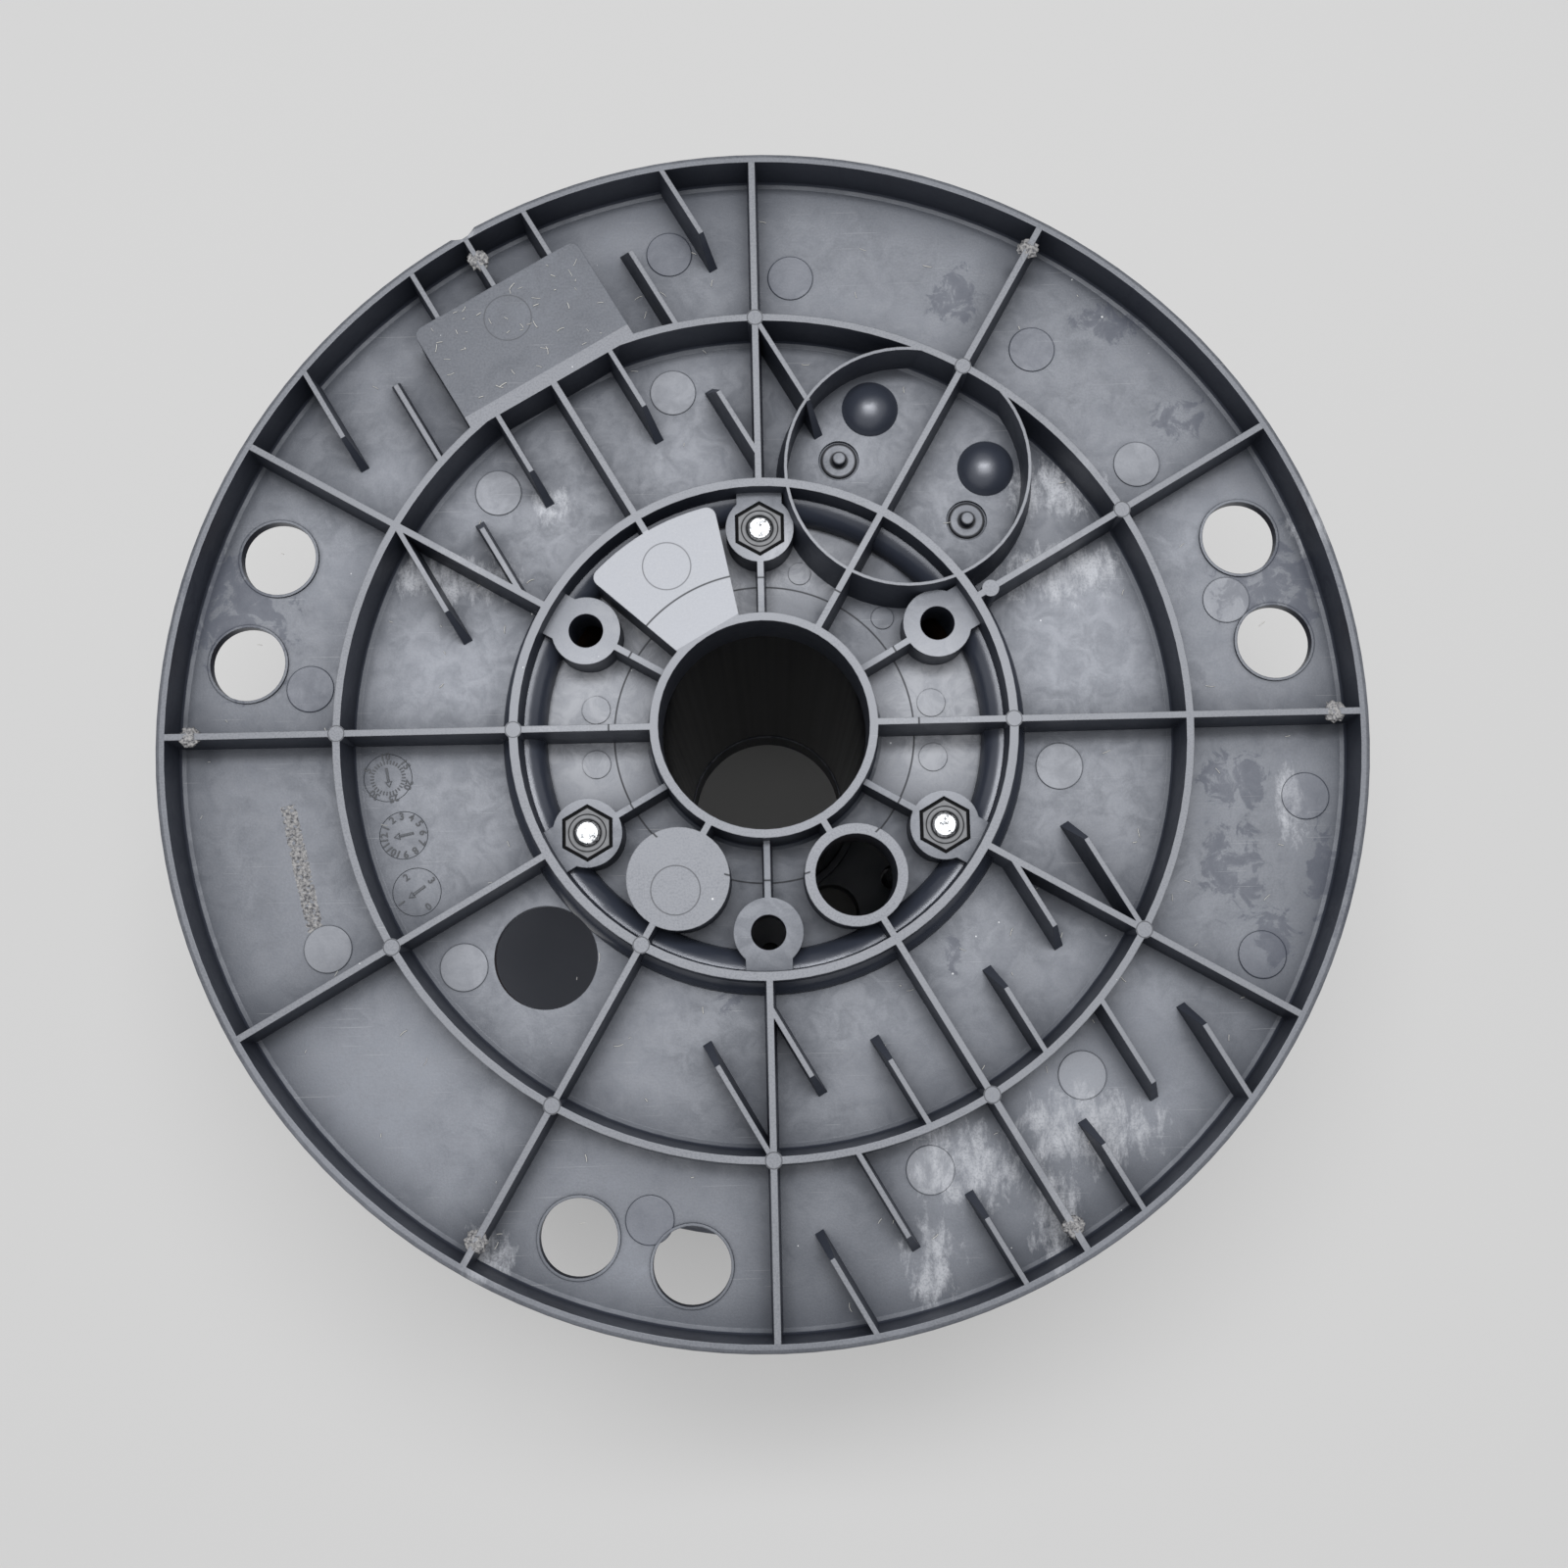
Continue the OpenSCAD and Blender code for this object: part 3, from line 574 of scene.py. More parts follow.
@dataclass(frozen=True)
class PlatedSteel(Finish):
    """Bright zinc-plated steel: small dents and fine scratches that break up its mirror."""

    body: str = "#c3c5c8"
    worn: str = "#3f4144"
    rough: Place = (0.25, 0.5)
    dent_mm: float = 1.3
    fine_mm: float = 0.3
    edge_mm: float = 0.3
    ray_count: int = 4

    def shader(self, node: AddNode, place: Value) -> Node:
        """Builds the shader.

        Args:
            node: Adds a node.
            place: The place in metres.

        Returns:
            The shader.
        """
        dents = node("TexNoise", place, Scale=1 / (self.dent_mm * MM), Detail=4.0, Roughness=0.6)
        fine = node("TexNoise", place, Scale=1 / (self.fine_mm * MM), Detail=2.0)
        tone = node("MapRange", dents, 0.52, 0.7)
        colour = node("Mix", tone, at={6: linear(self.body), 7: linear(self.worn)}, data_type="RGBA")
        rough = node("MapRange", fine, 0.0, 1.0, *self.rough)
        rounded = node("Bevel", Radius=self.edge_mm * MM, samples=self.ray_count)
        bump = node("Bump", Height=dents, Strength=0.9, Distance=0.5 * MM, Normal=rounded)
        return node("BsdfPrincipled", colour, Metallic=1.0, Roughness=rough, Normal=bump)


@dataclass(frozen=True)
class CoatedSteel(Finish):
    """Phosphate-coated steel of a nut: dull grey with turned rings and a dark ring line, with painted shadow round
    the bolt and painted shade along the edge.

    The rings lie round the nut's own middle, which is given in metres.
    """

    middle: Vector
    body: str = "#3a3c40"
    worn: str = "#5d5f64"
    dark_line_and_shade: str = "#08090b"
    across_mm: float = 11.1
    edge_shade_mm: Place = (0.32, 0.16)
    bearing_r_mm: float = 4.6
    thread_r_mm: float = 3.3
    thread_shadow_mm: float = 0.45
    turned_mm: float = 0.35
    cloud_mm: float = 2.5

    def shader(self, node: AddNode, place: Value) -> Node:
        """Builds the shader of one nut.

        Args:
            node: Adds a node.
            place: The place in metres.

        Returns:
            The shader.
        """
        mm = node("Mapping", place, Location=-self.middle / MM, Scale=(1 / MM,) * 3)
        flat = node("VectorMath:MULTIPLY", mm, (1, 1, 0))
        radius = node("VectorMath:LENGTH", flat)
        turned = node("TexNoise", W=radius, Scale=1 / self.turned_mm, Detail=2.0, noise_dimensions="1D")
        cloud = node("TexNoise", mm, Scale=1 / self.cloud_mm, Detail=5.0)
        tone = node("Math:MULTIPLY_ADD", turned, 0.35, cloud)
        tone = node("MapRange", tone, 0.45, 0.95)
        colour = node("Mix", tone, at={6: linear(self.body), 7: linear(self.worn)}, data_type="RGBA")
        ring = node("Math:SUBTRACT", radius, self.bearing_r_mm)
        ring = node("Math:ABSOLUTE", ring)
        ring = node("MapRange", ring, 0.08, 0.24, 0.85, 0.0)
        # Painted shadow round the bolt, and painted shade along the edges of the flats
        thread = node("MapRange", radius, self.thread_r_mm, self.thread_r_mm + self.thread_shadow_mm, 1.0, 0.0)
        flats = []
        for turn in map(math.radians, (0, 60, 120)):
            along = node("VectorMath:DOT_PRODUCT", flat, (math.cos(turn), math.sin(turn), 0))
            flats.append(node("Math:ABSOLUTE", along))
        start, full = (self.across_mm / 2 - inset for inset in self.edge_shade_mm)
        rim = node("MapRange", folded(node, "MAXIMUM", flats), start, full)
        dark = folded(node, "MAXIMUM", (ring, thread, rim))
        colour = node("Mix", dark, at={6: colour, 7: linear(self.dark_line_and_shade)}, data_type="RGBA")
        rough = node("MapRange", dark, at={3: 0.42, 4: 0.75})
        shine = node("MapRange", dark, at={3: 0.5, 4: 0.1})
        bump = node("Bump", Height=turned, Strength=0.25, Distance=0.04 * MM)
        return node("BsdfPrincipled", colour, at={"Specular IOR Level": shine}, Roughness=rough, Normal=bump)


@dataclass(frozen=True)
class PatchyFinish(Finish):
    """A small dry finish: two tones in fine patches, which may stand out a little."""

    dark: str
    light: str
    patch_mm: float
    detail: float
    rough: float
    fleck: float = 0.5
    span: Place = (0.0, 1.0)
    bump: float = 0.0
    bump_mm: float = 0.3
    ior: float = 1.5
    shine: float = 0.5

    def shader(self, node: AddNode, place: Value) -> Node:
        """Builds the shader.

        Args:
            node: Adds a node.
            place: The place in metres.

        Returns:
            The shader.
        """
        patch = node("TexNoise", place, Scale=1 / (self.patch_mm * MM), Detail=self.detail, Roughness=self.fleck)
        tone = node("MapRange", patch, *self.span)
        colour = node("Mix", tone, at={6: linear(self.dark), 7: linear(self.light)}, data_type="RGBA")
        bump = node("Bump", Height=patch, Strength=self.bump, Distance=self.bump_mm * MM)
        return node("BsdfPrincipled", colour, at={"Specular IOR Level": self.shine}, Roughness=self.rough,
                    IOR=self.ior, Normal=bump)


# Polypropylene torn at a gate: stress-whitened, rough and dry
TORN_PLASTIC = PatchyFinish("#3f4046", "#9d9c9c", 0.8, 5.0, 0.7, fleck=0.7, span=(0.38, 0.6), bump=0.8, ior=1.49)
# Fine relief from a polished mould insert: bare dark polypropylene that holds no bloom
POLISHED_RELIEF = PatchyFinish("#2c2e33", "#43464b", 1.4, 3.0, 0.45, ior=1.49, shine=0.3)
# Short cotton fibres and paper dust that cling to the plastic: white and matt
COTTON_LINT = PatchyFinish("#b7b6b2", "#d4d3cf", 1.0, 2.0, 0.9)


@dataclass(frozen=True)
class PaleSheet(Finish):
    """Seamless pale backdrop paper: matt and even, a little cloudy, glowing on seen and mirrored rays except in a
    painted shadow under the barrel.
    """

    light: str = "#a6a6a6"
    shade: str = "#a1a1a1"
    glow: str = "#8c8c8c"
    painted_shadow_r_mm: float = 66.0
    painted_shadow_edge_r_mm: float = 86.0
    cloud_mm: float = 700.0

    def shader(self, node: AddNode, place: Value) -> Node:
        """Builds the shader.

        Args:
            node: Adds a node.
            place: The place in metres.

        Returns:
            The shader.
        """
        cloud = node("TexNoise", place, Scale=1 / (self.cloud_mm * MM), Detail=1.0)
        colour = node("Mix", cloud, at={6: linear(self.shade), 7: linear(self.light)}, data_type="RGBA")
        # Painted shadow: the glow fades out over a disc under the barrel
        away = node("VectorMath:LENGTH", place)
        beyond = node("MapRange", away, self.painted_shadow_r_mm * MM, self.painted_shadow_edge_r_mm * MM)
        glow_outside_painted_shadow = node("Math:MULTIPLY", rays_that_show(node), beyond)
        return node("BsdfPrincipled", colour,
                    at={"Specular IOR Level": 0.2, "Emission Color": linear(self.glow), "Emission Strength": glow_outside_painted_shadow},
                    Roughness=0.9)


@dataclass(frozen=True)
class DateDial:
    """One date dial of the mould: numerals and ticks round an arrow, inside a fine ring."""

    at: Place
    arrow_turn: float
    numerals: tuple[tuple[str, float], ...]
    numeral_r: float
    ticks: int = 0
    tick_r: Place = (3.5, 4.4)
    ring_r: float = 6.0
    ring_wire_r: float = 0.09
    numeral_h: float = 1.9
    numeral_em: float = 1.35
    numeral_fat: float = 0.03
    line: float = 0.26
    relief: float = 0.14
    sunk: float = 0.3
    arrow: float = 5.0
    arrow_w: float = 0.62
    arrow_shaft_end: float = 1.2
    arrow_head_at: float = 1.0
    arrow_head_r: float = 1.05
    arrow_head_inset: float = 1.6

    def bar(self, shape: Shape, move: Matrix, start: float, end: float, wide: float, high: float) -> None:
        """Adds a low bar along the dial's first axis.

        Args:
            shape: The shape that gets the bar.
            move: The place and turn of the bar's line.
            start: Where the bar begins, in millimetres.
            end: Where it ends.
            wide: Its width.
            high: Its height over the web.
        """
        deep = high + self.sunk
        size = Matrix.Diagonal((abs(end - start) * MM, wide * MM, deep * MM, 1))
        middle = Matrix.Translation(((start + end) / 2 * MM, 0, (high - deep / 2) * MM))
        bmesh.ops.create_cube(shape, size=1.0, matrix=move @ middle @ size)

    def add_arrow(self, shape: Shape, place: Matrix, inset: float, high: float) -> None:
        """Adds the arrow, or the smaller one that fills its outline.

        Args:
            shape: The shape that gets the arrow.
            place: The dial's place in the flange's frame.
            inset: How far its outline is drawn in, in millimetres.
            high: Its height over the web.
        """
        turned = place @ Matrix.Rotation(math.radians(self.arrow_turn), 4, "Z")
        tip = self.arrow / 2
        self.bar(shape, turned, -tip + inset, tip - self.arrow_shaft_end, self.arrow_w - 2 * inset, high)
        deep = high + self.sunk
        head = Matrix.Translation(((tip - self.arrow_head_at) * MM, 0, (high - deep / 2) * MM))
        head_r = (self.arrow_head_r - self.arrow_head_inset * inset) * MM
        bmesh.ops.create_cone(shape, cap_ends=True, segments=3, radius1=head_r, radius2=head_r, depth=deep * MM,
                              matrix=turned @ head @ Matrix.Rotation(-math.pi / 2, 4, "Z"))

    def add_numeral(self, shape: Shape, place: Matrix, words: str, angle: float) -> None:
        """Adds one number with its top to the outside.

        Args:
            shape: The shape that gets the number.
            place: The dial's place in the flange's frame.
            words: The number.
            angle: Its angle round the dial in degrees.
        """
        text = bpy.data.curves.new("numeral", "FONT")
        text.body = words
        text.size = self.numeral_h * self.numeral_em * MM
        text.align_x = text.align_y = "CENTER"
        text.extrude = (self.relief + self.sunk) / 2 * MM
        text.offset = self.numeral_fat * MM
        text.resolution_u = 3
        shell = bpy.data.objects.new("numeral", text)
        before = len(shape.verts)
        shape.from_mesh(shell.to_mesh())
        shape.verts.ensure_lookup_table()
        out = Matrix.Rotation(math.radians(angle), 4, "Z") @ Matrix.Translation((self.numeral_r * MM, 0, 0))
        lift = Matrix.Translation((0, 0, (self.relief - self.sunk) / 2 * MM))
        bmesh.ops.transform(shape, matrix=place @ out @ Matrix.Rotation(-math.pi / 2, 4, "Z") @ lift,
                            verts=shape.verts[before:])
        shell.to_mesh_clear()
        bpy.data.objects.remove(shell)
        bpy.data.curves.remove(text)

    def add_lines(self, shape: Shape, place: Matrix) -> None:
        """Adds the dial's dark lines: ring, ticks, numbers and the arrow's outline.

        Args:
            shape: The shape that gets the lines.
            place: The dial's place in the flange's frame.
        """
        before = set(shape.verts)
        drawn = bmesh.ops.create_circle(shape, segments=4, radius=self.ring_wire_r * MM)["verts"]
        bmesh.ops.rotate(shape, verts=drawn, matrix=Matrix.Rotation(math.pi / 2, 3, "X"))
        bmesh.ops.translate(shape, verts=drawn, vec=(self.ring_r * MM, 0, 0))
        section = list({e for v in drawn for e in v.link_edges})
        bmesh.ops.spin(shape, geom=drawn + section, cent=(0, 0, 0), axis=(0, 0, 1), angle=math.tau, steps=48,
                       use_merge=True, use_duplicate=False)
        bmesh.ops.transform(shape, matrix=place, verts=[v for v in shape.verts if v not in before])
        for index in range(self.ticks):
            turn = Matrix.Rotation(math.tau * index / self.ticks, 4, "Z")
            self.bar(shape, place @ turn, *self.tick_r, self.line, self.relief)
        for words, angle in self.numerals:
            self.add_numeral(shape, place, words, angle)
        self.add_arrow(shape, place, 0.0, self.relief)


@dataclass
class FlangeMarks:
    """What one flange has beyond its solid: two slanting ribs, and what moulding and use leave on it."""

    end: End
    plastic: Material
    relief: Material
    torn: Material
    lint_white: Material
    web_depth_in: float = 13.2
    web_depth_out: float = 11.4
    bead_out_r: float = 66.0
    rim_in_r: float = 146.725
    rib_offset: float = 52.4
    rib_from: float = 89.1
    rib_to: float = 64.9
    rib_run: float = 6.2
    rib_t: float = 1.25
    rib_draft: float = 0.6
    rib_top: float = -0.02
    rib_root: float = -13.7
    mark_h: float = 0.3
    mark_sunk: float = 0.5
    mark_round: float = 0.25
    dials: tuple[DateDial, ...] = (
        DateDial((-95.0, -9.5), -80.0, (("10", 98.0), ("15", 38.0), ("20", -20.0), ("25", -74.0), ("30", -128.0),
                                         ("5", 158.0)), 5.35, ticks=31),
        DateDial((-90.9, -24.1), 192.0, tuple((str(n), 187.0 - 30.0 * n) for n in range(1, 13)), 4.75),
        DateDial((-87.5, -38.4), 216.0, (("0", -52.0), ("1", -144.0), ("2", 126.0), ("3", 38.0)), 4.5))
    arrow_fill_inset: float = 0.2
    arrow_fill_rise: float = 0.05
    strip: tuple[Place, Place] = ((-119.9, -16.1), (-111.8, -50.3))
    strip_w: float = 4.4
    strip_deep: float = 0.4
    strip_rise: float = 0.1
    strip_ridge: float = 0.28
    strip_edge: float = -0.01
    gate_r: float = 140.7
    gate_z: float = -0.75
    gate_size: float = 2.5
    gate_lump: float = 0.34
    gate_flat: float = 0.36
    gate_angles: tuple[float, ...] = (0.0, 60.0, 120.0, 180.0, 240.0, 300.0)
    lint_count: int = 110
    lint_r: Place = (70.0, 143.0)
    lint_bend: Place = (2.0, 9.0)
    lint_long: Place = (0.5, 2.4)
    lint_thick: Place = (0.06, 0.12)
    lint_seed: int = 41
    pad_lint_count: int = 45
    pad_middle: Place = (-59.6, 103.2)
    pad_half: Place = (12.5, 22.5)

    def slope(self) -> float:
        """Gives the web's rise per millimetre of radius."""
        return (self.web_depth_in - self.web_depth_out) / (self.rim_in_r - self.bead_out_r)

    def on_web(self, x: float, y: float, turn: float = 0.0) -> Matrix:
        """Places a shape on the web, leaning with it.

        Args:
            x: First coordinate in millimetres.
            y: Second coordinate in millimetres.
            turn: Turn about the shape's own axis in degrees.

        Returns:
            The move to that place in the flange's frame, in metres.
        """
        z = -self.web_depth_in + self.slope() * (math.hypot(x, y) - self.bead_out_r)
        radial = math.atan2(y, x)
        lean = Matrix.Rotation(radial, 4, "Z") @ Matrix.Rotation(-math.atan(self.slope()), 4, "Y")
        upright = Matrix.Rotation(math.radians(turn) - radial, 4, "Z")
        return Matrix.Translation(Vector((x, y, z)) * MM) @ lean @ upright

    def finish(self, kind: str, shape: Shape, material: Material, smooth: bool = False) -> None:
        """Turns a shape into a piece of the flange that rides on the reel's only body.

        Args:
            kind: The piece's name without its end.
            shape: The shape in the flange's frame, in metres. It is freed.
            material: The piece's material.
            smooth: Whether its faces are shaded smooth.
        """
        name = f"{self.end.value}_{kind}"
        shape.transform(self.end.matrix())
        bmesh.ops.recalc_face_normals(shape, faces=shape.faces)
        for face in shape.faces:
            face.smooth = smooth
        mesh = bpy.data.meshes.new(name)
        shape.to_mesh(mesh)
        shape.free()
        mesh.materials.append(material)
        piece = bpy.data.objects.new(name, mesh)
        bpy.context.scene.collection.objects.link(piece)
        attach(piece, "root")
        LOG.info("%s: %d faces", name, len(mesh.polygons))

    def build_slant_ribs(self) -> None:
        """Builds the two slanting ribs that run from knobs on opposite spokes and end in a slope."""
        outline = ((self.rib_from, self.rib_root), (self.rib_from, self.rib_top), (self.rib_to, self.rib_top),
                   (self.rib_to - self.rib_run, self.rib_root))
        shape = bmesh.new()
        for turn in (DRIVE_ANGLE, DRIVE_ANGLE + 180):
            near = [shape.verts.new((x * MM, 0, z * MM)) for x, z in outline]
            made = bmesh.ops.extrude_face_region(shape, geom=[shape.faces.new(near)])
            far = [v for v in made["geom"] if isinstance(v, bmesh.types.BMVert)]
            for verts, side in ((near, -1), (far, 1)):
                for vert in verts:
                    vert.co.y = side * (self.rib_t / 2 + self.rib_draft * vert.co.z / MM / self.rib_root) * MM
            place = Matrix.Rotation(math.radians(turn), 4, "Z") @ Matrix.Translation((0, -self.rib_offset * MM, 0))
            bmesh.ops.transform(shape, matrix=place, verts=near + far)
        self.finish("slant_ribs", shape, self.plastic)

    def build_ejector_marks(self) -> None:
        """Builds the round marks of the ejector pins, low discs with rounded edges."""
        shape = bmesh.new()
        drop = Matrix.Translation((0, 0, (self.mark_h - self.mark_sunk) / 2 * MM))
        for x, y in PALE_MARKS + DARK_MARKS:
            verts = bmesh.ops.create_cone(
                shape, cap_ends=True, segments=48, radius1=MARK_RADIUS * MM, radius2=MARK_RADIUS * MM,
                depth=(self.mark_h + self.mark_sunk) * MM)["verts"]
            rim = {e for v in verts for e in v.link_edges if all(w.co.z > 0 for w in e.verts)}
            cut = bmesh.ops.bevel(shape, geom=list(rim), offset=self.mark_round * MM, affect="EDGES", segments=2,
                                  profile=0.5, material=-1)
            whole = {v for v in verts if v.is_valid} | set(cut["verts"])
            bmesh.ops.transform(shape, matrix=self.on_web(x, y) @ drop, verts=list(whole))
        self.finish("ejector_marks", shape, self.plastic)

    def build_gate_scars(self) -> None:
        """Builds the torn lumps where the gates were broken off the spokes."""
        shape = bmesh.new()
        for angle in self.gate_angles:
            verts = bmesh.ops.create_icosphere(shape, subdivisions=4, radius=self.gate_size * MM)["verts"]
            for vert in verts:
                push = noise.noise(vert.co / MM * 0.9 + Vector((angle, 3.0, 7.0)))
                push += 0.6 * noise.noise(vert.co / MM * 2.3 + Vector((5.0, angle, 1.0)))
                vert.co *= 1 + self.gate_lump * push
                vert.co.z *= self.gate_flat
            out = Matrix.Translation((self.gate_r * MM, 0, self.gate_z * MM))
            bmesh.ops.transform(shape, matrix=Matrix.Rotation(math.radians(angle), 4, "Z") @ out, verts=verts)
        self.finish("gate_scars", shape, self.torn, smooth=True)

    def build_dials(self) -> None:
        """Builds the mould's date dials: their dark lines, and the arrows' pale fillings."""
        lines, fills = bmesh.new(), bmesh.new()
        for dial in self.dials:
            place = self.on_web(*dial.at)
            dial.add_lines(lines, place)
            dial.add_arrow(fills, place, self.arrow_fill_inset, dial.relief + self.arrow_fill_rise)
        self.finish("dial_lines", lines, self.relief)
        self.finish("dial_arrows", fills, self.plastic)

    def build_rough_strip(self) -> None:
        """Builds the rough strip that a worn mould left on the web."""
        (x_from, y_from), (x_to, y_to) = self.strip
        shape = bmesh.new()
        bmesh.ops.create_grid(shape, x_segments=120, y_segments=10, size=0.5)
        long = math.hypot(x_to - x_from, y_to - y_from)
        bmesh.ops.scale(shape, vec=(long * MM, self.strip_w * MM, 1), verts=shape.verts)
        lower = bmesh.ops.extrude_face_region(shape, geom=list(shape.faces))
        low = [v for v in lower["geom"] if isinstance(v, bmesh.types.BMVert)]
        bmesh.ops.translate(shape, verts=low, vec=(0, 0, -self.strip_deep * MM))
        for vert in shape.verts:
            if vert.co.z > -self.strip_deep / 2 * MM:
                ridge = noise.noise(Vector((vert.co.x / MM * 1.9, vert.co.y / MM * 0.9, 2.0)))
                fade = 1 - (2 * abs(vert.co.y) / (self.strip_w * MM)) ** 2
                vert.co.z = ((self.strip_rise + self.strip_ridge * ridge) * fade + self.strip_edge) * MM
        turn = math.degrees(math.atan2(y_to - y_from, x_to - x_from))
        shape.transform(self.on_web((x_from + x_to) / 2, (y_from + y_to) / 2, turn))
        self.finish("rough_strip", shape, self.torn)

    def build_lint(self) -> None:
        """Builds short curved fibres that lie on the web, and some on the label pad."""
        draw = random.Random(self.lint_seed)
        shape = bmesh.new()
        pad = Matrix.Translation((self.pad_middle[0] * MM, self.pad_middle[1] * MM, 0))
        pad = pad @ Matrix.Rotation(math.radians(DRIVE_ANGLE - 180), 4, "Z")
        for index in range(self.lint_count + self.pad_lint_count):
            radius = draw.uniform(*self.lint_r)
            angle = draw.uniform(0.0, math.tau)
            bend = draw.uniform(*self.lint_bend)
            sweep = draw.uniform(*self.lint_long) / bend
            thick = draw.uniform(*self.lint_thick)
            ring = bmesh.ops.create_circle(shape, segments=4, radius=thick * MM, cap_ends=True)["verts"]
            bmesh.ops.rotate(shape, verts=ring, matrix=Matrix.Rotation(math.pi / 2, 3, "X"))
            bmesh.ops.translate(shape, verts=ring, vec=(bend * MM, 0, thick * MM))
            start = list({f for v in ring for f in v.link_faces})
            made = bmesh.ops.spin(shape, geom=start, cent=(0, 0, 0), axis=(0, 0, 1), angle=sweep, steps=7,
                                  use_duplicate=False)
            verts = {v for item in made["geom_last"] if isinstance(item, bmesh.types.BMFace) for v in item.verts}
            grown = set(verts)
            while verts:
                verts = {e.other_vert(v) for v in verts for e in v.link_edges} - grown
                grown |= verts
            turn = draw.uniform(0.0, math.tau)
            place = self.on_web(radius * math.cos(angle), radius * math.sin(angle), math.degrees(turn))
            if index >= self.lint_count:
                spot = [draw.uniform(-half, half) * MM for half in self.pad_half]
                place = pad @ Matrix.Translation((*spot, 0)) @ Matrix.Rotation(turn, 4, "Z")
            bmesh.ops.transform(shape, matrix=place @ Matrix.Translation((-bend * MM, 0, 0)), verts=list(grown))
        self.finish("lint", shape, self.lint_white, smooth=True)

    def build(self) -> None:
        """Builds the ribs and all of the flange's marks."""
        for build_piece in (self.build_slant_ribs, self.build_ejector_marks, self.build_gate_scars, self.build_dials,
                            self.build_rough_strip, self.build_lint):
            build_piece()


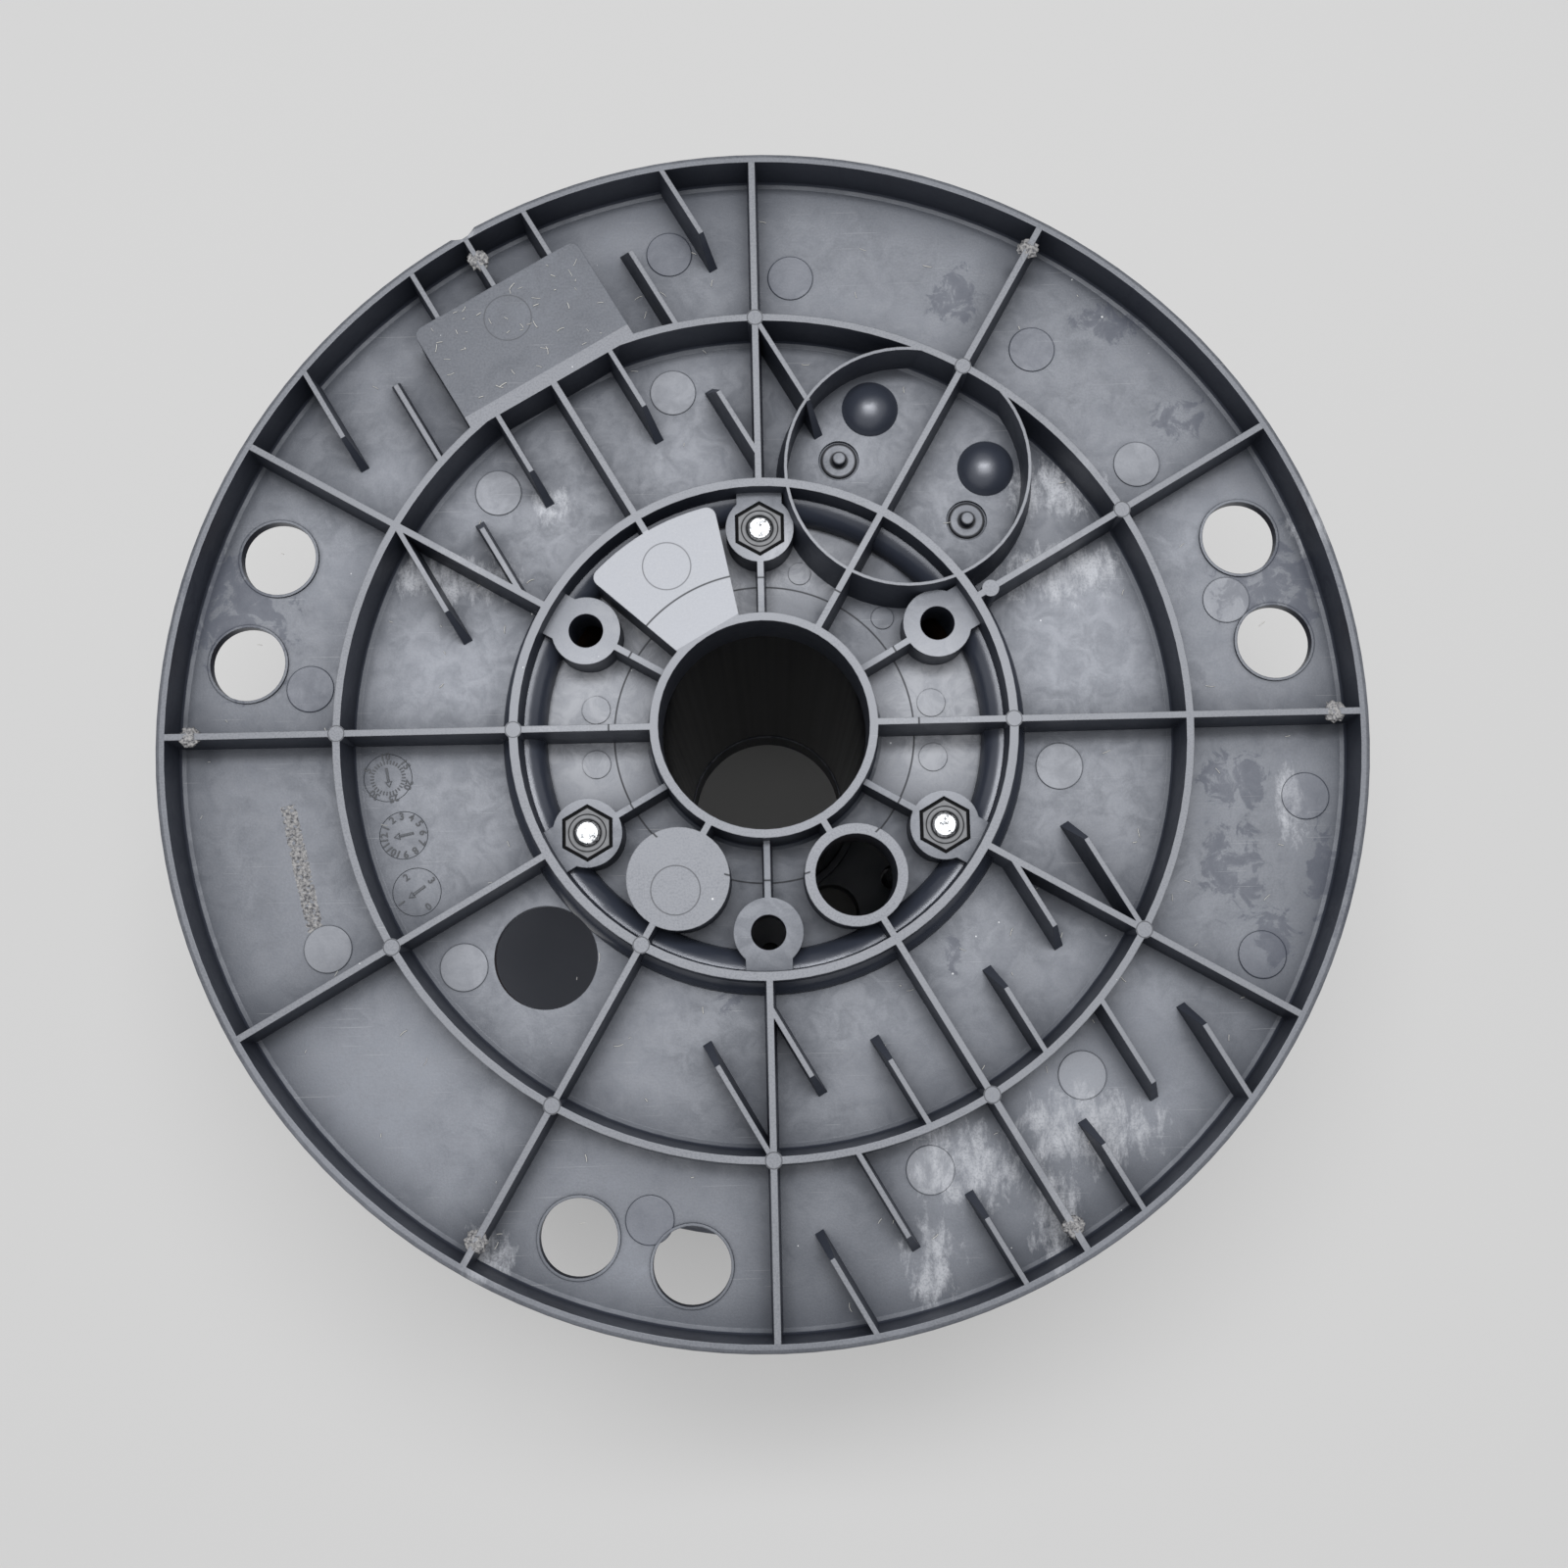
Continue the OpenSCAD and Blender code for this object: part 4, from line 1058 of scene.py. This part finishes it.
@dataclass
class Studio:
    """Pale floor, soft overhead light and the camera."""

    focal_px: float = 1625.0
    picture_px: float = 1600.0
    camera_at: Point = (1.372, -66.45, 582.116)
    camera_turn: Point = (-0.1329552, 0.0051081, 0.0238094)
    lamp_aim: Point = (0.0, 0.0, 150.0)
    floor_half: float = 6000.0
    fill: float = 0.35
    backdrop: str = "#d4d4d4"

    def build_camera(self) -> None:
        """Builds the camera at the photograph's viewing angle."""
        data = bpy.data.cameras.new("camera")
        data.sensor_width = 36.0
        data.lens = data.sensor_width * self.focal_px / self.picture_px
        data.clip_start = 0.01
        data.clip_end = 50.0
        camera = bpy.data.objects.new("camera", data)
        turn = Matrix.Identity(3)
        for angle, axis in zip(self.camera_turn, "XYZ"):
            turn = turn @ Matrix.Rotation(angle, 3, axis)
        camera.matrix_world = Matrix.Translation(Vector(self.camera_at) * MM) @ turn.transposed().to_4x4()
        bpy.context.scene.collection.objects.link(camera)
        bpy.context.scene.camera = camera

    def build_lamp(self, name: str, at: Point, size: Place, radiance: float) -> None:
        """Builds one area lamp of a given brightness.

        Args:
            name: The lamp's name.
            at: Its place in millimetres.
            size: Its width and depth in millimetres.
            radiance: How bright its face is, where 1 is a white sheet at the plain level.
        """
        data = bpy.data.lights.new(name, "AREA")
        data.shape = "RECTANGLE"
        data.size, data.size_y = size[0] * MM, size[1] * MM
        data.energy = radiance * math.pi * data.size * data.size_y
        lamp = bpy.data.objects.new(name, data)
        facing = (Vector(self.lamp_aim) - Vector(at)).to_track_quat("-Z", "Y")
        lamp.matrix_world = Matrix.Translation(Vector(at) * MM) @ facing.to_matrix().to_4x4()
        lamp.visible_camera = False
        bpy.context.scene.collection.objects.link(lamp)

    def build_floor(self) -> None:
        """Builds the pale floor."""
        shape = bmesh.new()
        bmesh.ops.create_grid(shape, x_segments=1, y_segments=1, size=self.floor_half * MM)
        mesh = bpy.data.meshes.new("floor")
        shape.to_mesh(mesh)
        shape.free()
        mesh.materials.append(PaleSheet().material("pale_paper"))
        floor = bpy.data.objects.new("floor", mesh)
        bpy.context.scene.collection.objects.link(floor)

    def build_world(self) -> None:
        """Builds the even fill light, with the pale backdrop where it is seen or mirrored."""
        world = bpy.data.worlds.new("soft_room")
        world.use_nodes = True
        world.node_tree.nodes.clear()
        node = partial(add_node, world.node_tree)
        fill = node("Background", (1, 1, 1, 1), self.fill)
        sheet = node("Background", linear(self.backdrop), 1.0)
        node("OutputWorld", node("MixShader", rays_that_show(node), fill, sheet))
        bpy.context.scene.world = world

    def build(self) -> None:
        """Builds the studio."""
        bpy.context.scene.view_settings.view_transform = "Standard"
        self.build_camera()
        self.build_floor()
        self.build_world()
        self.build_lamp("soft_ceiling", (0.0, 130.0, 1600.0), (1080.0, 820.0), 4.7)
        self.build_lamp("strip_lamp", (0.0, 400.0, 1600.0), (960.0, 240.0), 13.0)
        LOG.info("studio: camera, floor, world and 2 lamps")


@dataclass
class CableReel:
    """The whole reel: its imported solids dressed, and the small marks that they carry."""

    nodes: dict[str, bpy.types.Object]

    def dress(self, names: tuple[str, ...], material: Material) -> None:
        """Gives solids their material.

        Args:
            names: The solids' names.
            material: The material.
        """
        for name in names:
            solid = self.nodes[name]
            solid.data.materials.clear()
            solid.data.materials.append(material)
            LOG.info("%s: %s", name, material.name)

    def build(self) -> None:
        """Dresses the solids and builds the marks of both flanges."""
        self.dress(("barrel",), KraftFibre().material("wound_kraft_fibre"))
        self.dress(("arbor_tube",), GlossTube().material("extruded_black_polypropylene"))
        self.dress(("bolt_1", "bolt_2", "bolt_3"), PlatedSteel().material("bright_zinc_steel"))
        for name in ("nut_1", "nut_2", "nut_3"):
            middle = sum((Vector(corner) for corner in self.nodes[name].bound_box), Vector()) / 8
            self.dress((name,), CoatedSteel(middle).material(f"phosphated_steel_{name}"))
        relief = POLISHED_RELIEF.material("polished_polypropylene_relief")
        torn = TORN_PLASTIC.material("torn_polypropylene")
        lint = COTTON_LINT.material("cotton_lint")
        for end in End:
            plastic = MouldedPolypropylene(end).material(f"moulded_black_polypropylene_{end.value}")
            self.dress((f"{end.value}_flange",), plastic)
            FlangeMarks(end, plastic, relief, torn, lint).build()


def main() -> None:
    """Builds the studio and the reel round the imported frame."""
    logging.basicConfig(level=logging.INFO, format="%(name)s %(message)s")
    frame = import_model()
    Studio().build()
    CableReel(frame["nodes"]).build()


if __name__ == "__main__":
    main()
